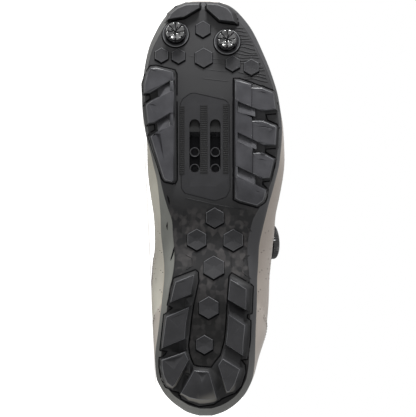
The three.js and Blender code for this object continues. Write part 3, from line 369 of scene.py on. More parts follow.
@dataclass(frozen=True)
class Shape:
    """The driving sizes of the shoe, and the surfaces that follow from them."""

    length: float = 280.0
    ball_width: float = 94.9
    heel_width: float = 67.5
    lug_depth: float = 6.5
    arch_lift: float = 7.0
    toe_spring: float = 15.0
    plate: float = 5.5
    side_height: float = 11.0
    side_lean: float = 8.0
    rim_wall: float = 2.0
    chine: float = 1.2
    instep: float = 118.0
    collar_height: float = 88.0
    throat_width: float = 30.0
    wall: float = 2.4
    margin_wall: float = 1.6
    gap: float = 0.35
    toe_round: float = 30.0
    throat_start: float = 0.36
    throat_end: float = 0.662
    throat_round: float = 0.012

    # Stretches along the shoe, each as its start and its length: where the width goes from the
    # heel's to the ball's, where the ridge moves medially and laterally, and where the toe closes
    WAIST = (0.32, 0.30)
    RIDGE_FORE = (0.4, 0.4)
    RIDGE_REAR = (0.3, 0.3)
    TOEWARD = (0.76, 0.24)
    # How far the ridge moves in them, as shares of the ball's and of the heel's width
    RIDGE_SHIFT = (-0.03, 0.035)

    @staticmethod
    def passed(along: Any, start: float, length: float) -> np.ndarray:
        """How much of a stretch along the shoe is passed, from 0 to 1."""
        return np.clip((np.asarray(along, float) - start) / length, 0, 1)

    def width(self, along: Any) -> np.ndarray:
        """The width that shares across are taken of."""
        share = smooth(self.passed(along, *self.WAIST))
        return self.heel_width + (self.ball_width - self.heel_width) * share

    def underside(self, x: Any) -> np.ndarray:
        """Height of the sole's underside."""
        along = np.asarray(x, float) / self.length
        return (
            self.lug_depth
            + self.arch_lift * PROFILE["arch"](along)
            + self.toe_spring * PROFILE["toe"](along)
        )

    def lean(self, x: Any) -> np.ndarray:
        """How far the sole's wall leans in."""
        return self.side_lean * PROFILE["lean"](np.asarray(x, float) / self.length)

    def rim_top(self, x: Any) -> np.ndarray:
        """Height of the sole's rim."""
        return self.underside(x) + self.side_height

    def tray_floor(self, x: Any) -> np.ndarray:
        """Height of the floor inside the sole."""
        return self.underside(x) + self.plate

    def ridge(self, along: Any) -> np.ndarray:
        """Height of the last's ridge."""
        return self.instep * LAST["ridge"](along)

    def middle(self, along: Any) -> np.ndarray:
        """Where the ridge runs across the shoe."""
        fore, rear = self.passed(along, *self.RIDGE_FORE), 1 - self.passed(along, *self.RIDGE_REAR)
        medial, lateral = self.RIDGE_SHIFT
        return medial * self.ball_width * fore + lateral * self.heel_width * rear

    def throat_half(self, along: Any) -> np.ndarray:
        """Half the width of the throat, closing in a round at its front."""
        along = np.asarray(along, float)
        close = np.clip((self.throat_end - along) / self.throat_round, 0, 1)
        return self.throat_width * THROAT["half"](along) * np.sqrt(close)

    def collar_top(self, x: Any) -> np.ndarray:
        """Height of the upper's top line."""
        return self.collar_height * COLLAR["height"](np.asarray(x, float) / self.length)

    def stations(self, count: int) -> np.ndarray:
        """Places along the shoe, closer together at both ends."""
        t = np.linspace(0, 1, count)
        return 0.45 * t + 0.55 * (1 - np.cos(math.pi * t)) / 2

    def plan(self, count: int, girth: bool = False) -> dict[str, np.ndarray]:
        """A ring up the medial side and back down the lateral side.

        Args:
            count: Points on each side.
            girth: The last's widest line, not the sole's outline.

        Returns:
            along, side, x and y of every point.
        """
        along = self.stations(count)
        names = ("girth_medial", "girth_lateral") if girth else ("medial", "lateral")
        width = self.width(along)
        low, high = (-OUTLINE[names[0]](along) * width, OUTLINE[names[1]](along) * width)
        both = np.concatenate([along, along[::-1]])
        return {
            "along": both,
            "side": np.repeat([-1, 1], count),
            "x": both * self.length,
            "y": np.concatenate([low, high[::-1]]),
        }

    @staticmethod
    def shrink(x: np.ndarray, y: np.ndarray, inset: Any) -> tuple[np.ndarray, np.ndarray]:
        """Moves a ring inwards by an inset."""
        dx, dy = np.roll(x, -1) - np.roll(x, 1), np.roll(y, -1) - np.roll(y, 1)
        size = np.maximum(np.hypot(dx, dy), 1e-6)
        return x - inset * dy / size, y + inset * dx / size

    def last_ring(self, ring: dict[str, np.ndarray], turn: float) -> np.ndarray:
        """The last's surface at each station.

        Args:
            ring: The girth plan.
            turn: 0 at the widest line and 90 at the ridge, in degrees.

        Returns:
            A point for each station.
        """
        along, side = ring["along"], ring["side"]
        square = np.where(side < 0, LAST["square_medial"](along), LAST["square_lateral"](along))
        close = math.cos(math.radians(turn)) ** (2 / square)
        rise = math.sin(math.radians(turn)) ** (2 / square)
        if turn >= 90:
            close = np.zeros_like(square)
        low, top, bulge = self.rim_top(ring["x"]), self.ridge(along), LAST["bulge"](along)
        z = low + (top - low) * (bulge + (1 - bulge) * rise)
        toeward = self.passed(along, *self.TOEWARD) ** 1.35
        heelward = np.clip(1 - along / 0.3, 0, 1) ** 1.5
        back = self.heel_width * HEEL_BACK["back"](z / self.collar_height)
        x = ring["x"] - self.toe_round * toeward * (1 - close) + back * heelward
        middle = self.middle(along)
        return np.stack([x, middle + (ring["y"] - middle) * close, z], 1)

    def skin(self, x: Any, y: Any) -> tuple[np.ndarray, np.ndarray]:
        """A place on top of the last, seen in plan.

        Args:
            x: Along the shoe.
            y: Across the shoe.

        Returns:
            The points and the ways out of the last.
        """

        def height(px: np.ndarray, py: np.ndarray) -> np.ndarray:
            """Height of the last over a point of the plan."""
            along = px / self.length
            middle, low = self.middle(along), self.rim_top(px)
            medial = py < middle
            half = np.where(
                medial, -OUTLINE["girth_medial"](along), OUTLINE["girth_lateral"](along)
            ) * self.width(along)
            square = np.where(medial, LAST["square_medial"](along), LAST["square_lateral"](along))
            close = np.clip((py - middle) / (half - middle), 0, 1) ** (square / 2)
            rise = np.sqrt(np.maximum(1 - close**2, 0)) ** (2 / square)
            bulge = LAST["bulge"](along)
            return low + (self.ridge(along) - low) * (bulge + (1 - bulge) * rise)

        x, y = np.broadcast_arrays(np.asarray(x, float), np.asarray(y, float))
        step = 0.5
        normal = np.stack([
            height(x - step, y) - height(x + step, y),
            height(x, y - step) - height(x, y + step),
            np.full(x.shape, 2 * step),
        ], -1)
        normal /= np.linalg.norm(normal, axis=-1, keepdims=True)
        return np.stack([x, y, height(x, y)], -1), normal


# Meshes


def smooth(share: Any) -> Any:
    """A soft step from 0 to 1."""
    return share * share * (3 - 2 * share)


def circle(count: int) -> np.ndarray:
    """Angles spaced evenly round a circle."""
    return np.linspace(0, 2 * math.pi, count, endpoint=False)


def lengths_along(line: np.ndarray) -> np.ndarray:
    """How far along a line each of its points lies."""
    return np.concatenate([[0], np.cumsum(np.linalg.norm(np.diff(line, axis=0), axis=1))])


def sampled(values: np.ndarray, at: np.ndarray, places: Any) -> np.ndarray:
    """Reads rows of values, which are known at some lengths, at other lengths."""
    return np.stack([np.interp(places, at, values[:, c]) for c in range(values.shape[1])], -1)


def between_sides(ring: np.ndarray, steps: int) -> np.ndarray:
    """A grid of points between the medial and the lateral half of a ring.

    Args:
        ring: Points up the medial side and back down the lateral side.
        steps: How many steps the grid has across.

    Returns:
        The grid, as rows across the shoe.
    """
    half = len(ring) // 2
    low, high = ring[:half, None], ring[half:][::-1][:, None]
    return low + (high - low) * np.linspace(0, 1, steps + 1)[None, :, None]


class Form:
    """Points and faces in the shoe's millimetres, gathered for one piece."""

    # A spindle's sides, and its rings: the place along it and the share of its width
    BEAD_SIDES = 6
    BEAD_PROFILE = ((-0.5, 0.35), (-0.3, 0.95), (0.3, 0.95), (0.5, 0.35))
    def __init__(self) -> None:
        """Starts with nothing."""
        self.points: list[np.ndarray] = []
        self.faces: list[tuple[int, ...]] = []
        self.slots: list[int] = []
        self.count = 0

    def add(self, points: Any, faces: Iterable[Sequence[int]], slot: int = 0) -> None:
        """Adds points, and faces that number them from 0."""
        points = np.asarray(points, float).reshape(-1, 3)
        base = self.count
        for face in faces:
            self.faces.append(tuple(base + i for i in face))
            self.slots.append(slot)
        self.points.append(points)
        self.count += len(points)

    def sheet(
        self, grid: Any, slot: int = 0, round_u: bool = False, round_v: bool = False,
        flip: bool = False,
    ) -> None:
        """Adds a sheet of four-sided faces.

        Args:
            grid: Points as rows of columns.
            slot: The material.
            round_u: The last row joins the first.
            round_v: The last column joins the first.
            flip: Turns the faces over.
        """
        grid = np.asarray(grid, float)
        rows, columns = grid.shape[:2]
        faces = []
        for i in range(rows if round_u else rows - 1):
            for j in range(columns if round_v else columns - 1):
                a, b = i * columns + j, i * columns + (j + 1) % columns
                k = (i + 1) % rows
                c, d = k * columns + (j + 1) % columns, k * columns + j
                faces.append((d, c, b, a) if flip else (a, b, c, d))
        self.add(grid, faces, slot)

    def fan(self, ring: Any, slot: int = 0, flip: bool = False) -> None:
        """Adds one flat face across a ring."""
        count = len(ring)
        face = range(count - 1, -1, -1) if flip else range(count)
        self.add(ring, [tuple(face)], slot)

    def stack(self, rings: Sequence[Any], slot: int = 0) -> None:
        """Adds a closed body through rings that turn anticlockwise about the way they rise."""
        self.sheet(rings, slot, round_v=True)
        self.fan(rings[0], slot, flip=True)
        self.fan(rings[-1], slot)

    def tube(
        self, path: Any, radius: Any, slot: int = 0, sides: int = 10, closed: bool = False,
        out: Any = None,
    ) -> None:
        """Adds a tube along a path.

        Args:
            path: The points of its middle.
            radius: Its radius, or one for each point.
            slot: The material.
            sides: How many sides it has.
            closed: The path is a loop.
            out: The way of its first corner at each point, or nothing.
        """
        path = np.asarray(path, float)
        if closed:
            run = np.roll(path, -1, 0) - np.roll(path, 1, 0)
        else:
            run = np.gradient(path, axis=0)
        run /= np.maximum(np.linalg.norm(run, axis=1, keepdims=True), 1e-9)
        if out is None:
            first = np.cross(run[0], [0.31, 0.17, 0.93])
            frames = [first / np.linalg.norm(first)]
            for way in run[1:]:
                turned = frames[-1] - way * (frames[-1] @ way)
                frames.append(turned / np.linalg.norm(turned))
            side = np.array(frames)
        else:
            side = np.asarray(out, float) - run * np.sum(np.asarray(out) * run, 1)[:, None]
            side /= np.maximum(np.linalg.norm(side, axis=1, keepdims=True), 1e-9)
        other = np.cross(run, side)
        turn = circle(sides)[None, :, None]
        radius = np.broadcast_to(np.asarray(radius, float), len(path))[:, None, None]
        spokes = np.cos(turn) * side[:, None] + np.sin(turn) * other[:, None]
        rings = path[:, None] + radius * spokes
        self.sheet(rings, slot, round_u=closed, round_v=True)
        if not closed:
            self.fan(rings[0], slot, flip=True)
            self.fan(rings[-1], slot)

    def bead(self, centre: Any, run: Any, out: Any, length: float, width: float) -> None:
        """Adds a stitch or a pinhole: a short spindle of the first material.

        Args:
            centre: Its middle.
            run: The way it lies.
            out: The way out of the surface.
            length: Its length.
            width: Its width.
        """
        across = np.cross(run, out)
        turn = circle(self.BEAD_SIDES)[:, None]
        spokes = np.cos(turn) * across + np.sin(turn) * out
        self.stack([centre + run * at * length + spokes * size * width / 2
                    for at, size in self.BEAD_PROFILE])

    def build(
        self, name: str, place: ShoeFrame, materials: Sequence[bpy.types.Material],
        sharp: float = 35.0, weld: float = 0.0,
    ) -> bpy.types.Object:
        """Makes the object.

        Args:
            name: The object's name.
            place: Where the shoe lies.
            materials: One for each slot.
            sharp: Edges that turn more than this many degrees stay sharp.
            weld: Points closer than this many millimetres become one.

        Returns:
            The new object, in the scene.
        """
        mesh = bpy.data.meshes.new(name)
        points = place.to_row(np.concatenate(self.points))
        mesh.from_pydata(points.tolist(), [], self.faces)
        mesh.polygons.foreach_set("material_index", self.slots)
        if weld:
            work = bmesh.new()
            work.from_mesh(mesh)
            bmesh.ops.remove_doubles(work, verts=work.verts, dist=weld * MM)
            work.to_mesh(mesh)
            work.free()
        return make_object(name, mesh, materials, sharp)


def add_object(name: str, data: bpy.types.ID) -> bpy.types.Object:
    """Puts a new object in the scene."""
    thing = bpy.data.objects.new(name, data)
    bpy.context.scene.collection.objects.link(thing)
    return thing


def make_object(
    name: str, mesh: bpy.types.Mesh, materials: Sequence[bpy.types.Material], sharp: float = 35.0
) -> bpy.types.Object:
    """Puts a mesh in the scene, smooth but for its sharp edges.

    Args:
        name: The object's name.
        mesh: Its mesh.
        materials: One for each slot.
        sharp: Edges that turn more than this many degrees stay sharp.

    Returns:
        The new object.
    """
    mesh.polygons.foreach_set("use_smooth", [True] * len(mesh.polygons))
    mesh.set_sharp_from_angle(angle=math.radians(sharp))
    for material in materials:
        mesh.materials.append(material)
    return add_object(name, mesh)


def store(thing: bpy.types.Object, name: str, values: np.ndarray) -> None:
    """Stores a number at each point of a piece, for its material."""
    layer = thing.data.attributes.new(name, "FLOAT", "POINT")
    layer.data.foreach_set("value", values.ravel().astype(np.float32))


def mark_levels(thing: bpy.types.Object, shape: Shape, place: ShoeFrame) -> None:
    """Stores how far each point stands off the sole's underside, in millimetres."""
    points = place.to_shoe([v.co for v in thing.data.vertices])
    store(thing, "level", shape.underside(points[:, 0]) - points[:, 2])


def settle(thing: bpy.types.Object, slot: str, *nodes: str) -> bpy.types.Object:
    """Attaches a finished piece to the body and hides the nodes that it stands for.

    Args:
        thing: The piece.
        slot: The record's material slot; not used.
        nodes: The nodes that it stands for.

    Returns:
        The piece.
    """
    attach(thing, BODY)
    if nodes:
        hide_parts(*nodes)
    return thing


def apply_modifiers(thing: bpy.types.Object) -> None:
    """Turns a piece's modifiers into its mesh."""
    depsgraph = bpy.context.evaluated_depsgraph_get()
    mesh = bpy.data.meshes.new_from_object(thing.evaluated_get(depsgraph))
    thing.modifiers.clear()
    thing.data = mesh


# Finishes


@dataclass(frozen=True)
class Finish:
    """What every finish has."""

    place: ShoeFrame

    def paint(self, graph: Graph, x: Sock, y: Sock, z: Sock) -> None:
        """Feeds the shader from a point's place in the shoe's own axes."""
        raise NotImplementedError

    def material(self, name: str) -> bpy.types.Material:
        """Makes the material.

        Args:
            name: The material's name.

        Returns:
            The new material.
        """
        graph = Graph(name)
        self.paint(graph, *graph.shoe_axes(self.place))
        return graph.material


@dataclass(frozen=True)
class Plate(Finish):
    """The satin moulded plate: mottled under the arch, paler in front, and near black at the heel with
    painted shade.
    """

    fore: int = 0x212122
    dark: int = 0x111112
    # Painted shade: the heel's near-black stands for the deep channel between the heel lugs
    heel: int = 0x030303
    patch: int = 0x2F2D2D
    patch_length: float = 3.9
    patch_width: float = 3.2
    roughness: float = 0.56
    shine: float = 0.14

    # Along the shoe: where the mottle starts, is full, fades and ends, where the heel's painted shade
    # gives way to the arch's tone, and where that gives way to the forefoot's
    MOTTLE = (18.0, 40.0, 132.0, 146.0)
    HEEL_END = (66.0, 96.0)
    FORE_START = (136.0, 158.0)

    def paint(self, graph: Graph, x: Sock, y: Sock, z: Sock) -> None:
        """Feeds the shader."""
        point = graph.vector(x, y, z)
        flat = graph.vector(x / self.patch_length, y / self.patch_width, 0.0)
        patches = graph.cells(flat, 1.0, 0.55).ramp(0.25, 0.75)
        clouds = graph.noise(point, 0.18, 3.0).ramp(0.35, 0.7)
        ahead = x.ramp(*self.HEEL_END)
        share = patches * x.within(*self.MOTTLE) * (0.45 + clouds * 0.4) * (0.35 + ahead * 0.65)
        # Painted shade: towards the heel the base and its mottle go near black
        back = graph.blend(ahead, linear(self.heel), linear(self.dark))
        base = graph.blend(x.ramp(*self.FORE_START), back, linear(self.fore))
        grain = graph.noise(point, 3.5, 3.0, 0.6)
        graph.set(
            Base_Color=graph.blend(share, base, linear(self.patch)),
            Roughness=self.roughness + grain * 0.14, Specular_IOR_Level=self.shine,
            Normal=graph.bump(grain, 0.05, 0.5),
        )


@dataclass(frozen=True)
class Wall(Finish):
    """The sole's outer wall, with painted light making it paler on the medial side of the arch and round
    the heel.
    """

    dark: int = 0x212123
    # Painted light: the paler tone of the medial side, as if lit from the floor side
    pale: int = 0x535450
    # Painted light: the paler tone round the heel, where the wall slopes towards the light
    heel: int = 0x444442
    roughness: float = 0.5
    shine: float = 0.3

    # Across the shoe, where the medial painted light ends; along it, the arch's painted light and where
    # the heel's ends
    MEDIAL_END = (-16.0, -4.0)
    ARCH = (40.0, 84.0, 146.0, 190.0)
    HEEL_END = (8.0, 60.0)

    def paint(self, graph: Graph, x: Sock, y: Sock, z: Sock) -> None:
        """Feeds the shader."""
        clouds = graph.noise(graph.vector(x * 0.4, y, z), 0.22, 3.0)
        # Painted light: paler on the medial side, most under the arch, and round the heel
        medial = 1.0 - y.ramp(*self.MEDIAL_END)
        share = medial * (0.25 + x.within(*self.ARCH) * 0.75) * (0.72 + clouds * 0.35)
        base = graph.blend(1.0 - x.ramp(*self.HEEL_END), linear(self.dark), linear(self.heel))
        grain = graph.noise(graph.vector(x, y, z), 3.0, 3.0, 0.6)
        graph.set(
            Base_Color=graph.blend(share, base, linear(self.pale)),
            Roughness=self.roughness + grain * 0.16, Specular_IOR_Level=self.shine,
            Normal=graph.bump(grain, 0.05, 0.4),
        )


@dataclass(frozen=True)
class Rubber(Finish):
    """Matt moulded rubber with a fine grain, which can be paler under the forefoot."""

    face: int = 0x202022
    shade: int = 0x19191B
    gain: float = 1.0
    roughness: float = 0.58
    shine: float = 0.2

    # Along the shoe, where the forefoot's tone comes in and where it fades at the toe, and by how much
    FORE_START = (90.0, 160.0)
    TOE = (222.0, 244.0)
    TOE_FADE = 0.8

    def colour(self, graph: Graph, x: Sock, y: Sock, z: Sock) -> Sock:
        """The cloudy colour of the rubber."""
        clouds = graph.noise(graph.vector(x, y, z), 0.11, 4.0).ramp(0.3, 0.72)
        back, fore = (
            graph.blend(clouds, linear(self.shade, gain), linear(self.face, gain))
            for gain in (1.0, self.gain)
        )
        ahead = x.ramp(*self.FORE_START) * (1.0 - x.ramp(*self.TOE) * self.TOE_FADE)
        return graph.blend(ahead, back, fore)

    def paint(self, graph: Graph, x: Sock, y: Sock, z: Sock) -> None:
        """Feeds the shader."""
        grain = graph.noise(graph.vector(x, y, z), 4.0, 2.0, 0.7)
        graph.set(
            Base_Color=self.colour(graph, x, y, z), Roughness=self.roughness + grain * 0.16,
            Specular_IOR_Level=self.shine, Normal=graph.bump(grain, 0.06, 0.6),
        )


@dataclass(frozen=True)
class Lug(Rubber):
    """Rubber lugs: paler on top, with painted shade darkening them down their walls and between them."""

    # Painted shade: the near-black tone down the walls and in recesses, set by the level off the sole
    deep: int = 0x0C0C0D
    heel: int = 0x4E4C48
    low: float = 0.4
    high: float = 6.4

    # Where the scuff of the heel ends along the shoe, fades across it and begins down a wall, and
    # how far a face has to look back
    SCUFF_END = (16.0, 36.0)
    SCUFF_SIDE = (0.0, 14.0)
    SCUFF_LEVEL = (1.6, 3.5)
    SCUFF_FACING = (0.25, 0.5)

    def colour(self, graph: Graph, x: Sock, y: Sock, z: Sock) -> Sock:
        """The rubber's colour, with painted shade darker down the walls, and scuffed at the back of the
        heel.
        """
        level = graph.attribute("level")
        tall = level.ramp(self.low, self.high)
        # Painted shade: the lower a point stands off the sole, the nearer it is to the near-black tone
        colour = graph.blend(tall, linear(self.deep), super().colour(graph, x, y, z))
        back = graph.dot(graph.add("ShaderNodeNewGeometry", output="Normal"), -self.place.axes[0])
        scuff = back.ramp(*self.SCUFF_FACING) * (1.0 - x.ramp(*self.SCUFF_END))
        scuff = scuff * level.ramp(*self.SCUFF_LEVEL) * (1.0 - y.ramp(*self.SCUFF_SIDE) * 0.55)
        return graph.blend(scuff, colour, linear(self.heel))


@dataclass(frozen=True)
class Gloss(Finish):
    """Glossy black moulded plastic with faint flow marks."""

    face: int = 0x0B0B0C
    mark: int = 0x131315
    roughness: float = 0.13
    shine: float = 0.35
    coat: float = 0.25

    def paint(self, graph: Graph, x: Sock, y: Sock, z: Sock) -> None:
        """Feeds the shader."""
        marks = graph.noise(graph.vector(x, y, z), 0.9, 3.0)
        graph.set(
            Base_Color=graph.blend(marks, linear(self.face), linear(self.mark)),
            Roughness=self.roughness + marks * 0.12, Coat_Weight=self.coat, Coat_Roughness=0.08,
            Specular_IOR_Level=self.shine, Normal=graph.bump(marks, 0.12, 0.3),
        )


@dataclass(frozen=True)
class Steel(Finish):
    """Dark plated steel with turning marks."""

    face: int = 0x626264
    mark: int = 0x2E2E30

    def paint(self, graph: Graph, x: Sock, y: Sock, z: Sock) -> None:
        """Feeds the shader."""
        marks = graph.noise(graph.vector(x, y * 6.0, z * 2.0), 0.8, 4.0)
        colour = graph.blend(marks, linear(self.face), linear(self.mark))
        graph.set(Base_Color=colour, Roughness=0.26 + marks * 0.2, Metallic=1.0)


@dataclass(frozen=True)
class Coated(Finish):
    """The upper's coated cloth: warm grey, greener inside and painted paler there with light, and beige
    next to the sole with painted shade.
    """

    # Painted light: the medial side's paler tone
    medial: int = 0x9F9D93
    lateral: int = 0x766E67
    # Painted shade: the beige band next to the sole
    painted_shade_band: int = 0x958B7A
    shadow: int = 0x7D766F
    overlay: int = 0x7F7770
    thread: float = 0.8
    sheen: float = 0.12

    # Across the shoe, where the medial painted light gives way, and how high the painted shade band by
    # the sole is
    SIDE = (-26.0, 18.0)
    BAND = (3.6, 5.4)

    def paint(self, graph: Graph, x: Sock, y: Sock, z: Sock) -> None:
        """Feeds the shader."""
        point = graph.vector(x, y, z)
        clouds = graph.noise(point, 0.07, 3.0)
        side, film = (y + z * 0.55).ramp(*self.SIDE), graph.attribute("proud")
        # Painted light: paler towards the medial side
        cloth = graph.blend(side, linear(self.medial), linear(self.lateral))
        # Painted shade: beige next to the sole, mostly on the medial side
        low = (1.0 - graph.attribute("rise").ramp(*self.BAND)) * (1.0 - side * 0.8)
        shade = graph.blend(low, cloth, linear(self.painted_shade_band))
        shade = graph.blend(clouds.ramp(0.2, 0.9) * 0.35, shade, linear(self.shadow))
        shade = graph.blend(film * 0.75, shade, linear(self.overlay))
        count = 2 * math.pi / self.thread
        weave = ((x + z) * count).sin() * ((x - z + y) * count).sin() * 0.25
        weave = weave + graph.noise(point, 1.4, 3.0) * 0.5
        graph.set(
            Base_Color=shade, Roughness=0.66 + clouds * 0.14 - film * 0.2,
            Specular_IOR_Level=0.35, Sheen_Weight=self.sheen,
            Normal=graph.bump(weave * (1.0 - film * 0.8), 0.12, 0.55),
        )


@dataclass(frozen=True)
class Cloth(Finish):
    """A soft cloth: lining, binding, tongue or insole cover."""

    face: int = 0x3B3937
    thread: int = 0x23221F
    pitch: float = 1.5
    depth: float = 0.25
    sheen: float = 0.3

    def paint(self, graph: Graph, x: Sock, y: Sock, z: Sock) -> None:
        """Feeds the shader."""
        count = 2 * math.pi / self.pitch
        weave = ((x + y * 0.6 + z * 0.4) * count).sin() * ((y - x * 0.6 + z) * count).sin()
        fuzz = graph.noise(graph.vector(x, y, z), 1.1, 4.0, 0.7)
        share = (weave * 0.5 + 0.5).ramp(0.15, 0.8) * 0.7 + fuzz * 0.3
        graph.set(
            Base_Color=graph.blend(share, linear(self.thread), linear(self.face)),
            Roughness=0.84 + fuzz * 0.14, Specular_IOR_Level=0.2, Sheen_Weight=self.sheen,
            Normal=graph.bump(share, self.depth, 0.6),
        )


@dataclass(frozen=True)
class Yarn(Finish):
    """Twisted thread or coated wire."""

    face: int = 0x8E867E
    roughness: float = 0.6
    twist: float = 1.1
    # Painted shade: how dark the twist's valleys are made
    valley: float = 0.55

    def paint(self, graph: Graph, x: Sock, y: Sock, z: Sock) -> None:
        """Feeds the shader."""
        strands = ((x + y * 1.3 + z * 0.8) * (2 * math.pi / self.twist)).sin()
        share = strands * 0.5 + 0.5
        graph.set(
            Base_Color=graph.blend(share, linear(self.face, self.valley), linear(self.face)),
            Roughness=self.roughness + share * 0.1, Normal=graph.bump(share, 0.1, 0.5),
        )


class Finishes:
    """Every material, made once."""

    def __init__(self, place: ShoeFrame) -> None:
        """Makes them all."""
        self.plate = Plate(place).material("plate")
        self.wall = Wall(place).material("sole_wall")
        # Painted shade: what lies recessed into the cleat panel turns near black
        recess = {"deep": 0x030303, "low": -2.4, "high": -0.1}
        self.panel = Lug(place, face=0x1A1A1C, shade=0x161618, **recess).material("cleat_panel")
        self.strip = Lug(place, face=0x0B0B0C, shade=0x080809, **recess).material("cleat_strip")
        self.lug = Lug(place, face=0x19191B, shade=0x131315, gain=2.6).material("rubber_lug")
        # Painted highlight: paler, glossier rubber on the chamfers of lugs and hexes and on the boss
        # rims
        self.edge = Rubber(
            place, face=0x303134, shade=0x27282A, roughness=0.34, shine=0.65
        ).material("painted_edge_highlight")
        # Painted shade: near-black rubber laid round the pads, on the hex and boss walls, in the creases
        # and on the nut plate; also the studs' matt slots
        self.line = Rubber(
            place, face=0x060607, shade=0x040405, roughness=0.9, shine=0.05
        ).material("line")
        self.gloss = Gloss(place).material("gloss_black")
        self.stud = Gloss(place, face=0x060607, roughness=0.1, shine=0.6, coat=0.7).material("stud")
        self.steel = Steel(place).material("steel")
        self.upper = Coated(place).material("coated_cloth")
        self.lining = Cloth(place).material("lining")
        self.binding = Cloth(place, face=0x8D857D, thread=0x6D665F, pitch=0.9, depth=0.15).material(
            "binding"
        )
        self.tongue = Cloth(place, face=0x9A928A, thread=0x6F6962, pitch=1.3).material("tongue")
        self.insole = Cloth(place, face=0x2C2C2F, thread=0x1B1B1D, pitch=1.2).material("insole")
        self.thread = Yarn(place, face=0x76706A).material("thread")
        self.hole = Rubber(place, face=0x3A3632, shade=0x2A2724, roughness=0.9).material("pinhole")
        self.wire = Yarn(place, face=0x1D1D20, roughness=0.3).material("wire")


# What the parts of the shoe share


@dataclass
class Assembly:
    """A part of the shoe, with what all of them are built from."""

    shape: Shape
    place: ShoeFrame
    finishes: Finishes

    def piece(
        self, form: Form, name: str, materials: Sequence[bpy.types.Material], slot: str,
        *nodes: str, sharp: float = 35.0, weld: float = 0.0, levels: bool = False,
    ) -> bpy.types.Object:
        """Makes one piece of a form and says what it goes with.

        Args:
            form: Its points and faces.
            name: Its name.
            materials: One for each of the form's slots.
            slot: The record's material slot.
            nodes: The nodes that it stands for.
            sharp: Edges that turn more than this many degrees stay sharp.
            weld: Points closer than this many millimetres become one.
            levels: Stores how far each point stands off the sole.

        Returns:
            The piece.
        """
        thing = form.build(name, self.place, materials, sharp, weld)
        if levels:
            mark_levels(thing, self.shape, self.place)
        return settle(thing, slot, *nodes)


@dataclass
class Spot:
    """A frame on the shoe: forward towards the toe, sideways, and up or out."""

    point: np.ndarray
    forward: np.ndarray
    sideways: np.ndarray
    out: np.ndarray

    @classmethod
    def on_last(cls, shape: Shape, x: float, y: float, lift: float = 0.0) -> "Spot":
        """Stands a frame on the last at a place of the plan."""
        point, out = shape.skin(x, y)
        sideways = np.cross(out, [1.0, 0.0, 0.0])
        sideways /= np.linalg.norm(sideways)
        return cls(point + out * lift, np.cross(sideways, out), sideways, out)

    @classmethod
    def on_sole(cls, shape: Shape, x: float, y: float) -> "Spot":
        """Stands a frame square to the sole's underside, pointing up into it."""
        lean = math.atan(float(shape.underside(x + 1) - shape.underside(x - 1)) / 2)
        forward = np.array([math.cos(lean), 0.0, math.sin(lean)])
        out = np.array([-math.sin(lean), 0.0, math.cos(lean)])
        return cls(np.array([x, y, float(shape.underside(x))]), forward, np.array([0.0, 1.0, 0.0]), out)

    def at(self, u: Any, v: Any, w: Any) -> np.ndarray:
        """Points from their places along the three axes."""
        u, v, w = (a[..., None] for a in np.broadcast_arrays(*(np.asarray(a, float) for a in (u, v, w))))
        return self.point + u * self.forward + v * self.sideways + w * self.out

    def ring(self, radius: Any, height: Any, turn: np.ndarray) -> np.ndarray:
        """Points about the last axis, each at a radius, a height and an angle."""
        return self.at(radius * np.cos(turn), radius * np.sin(turn), height)


# The sole


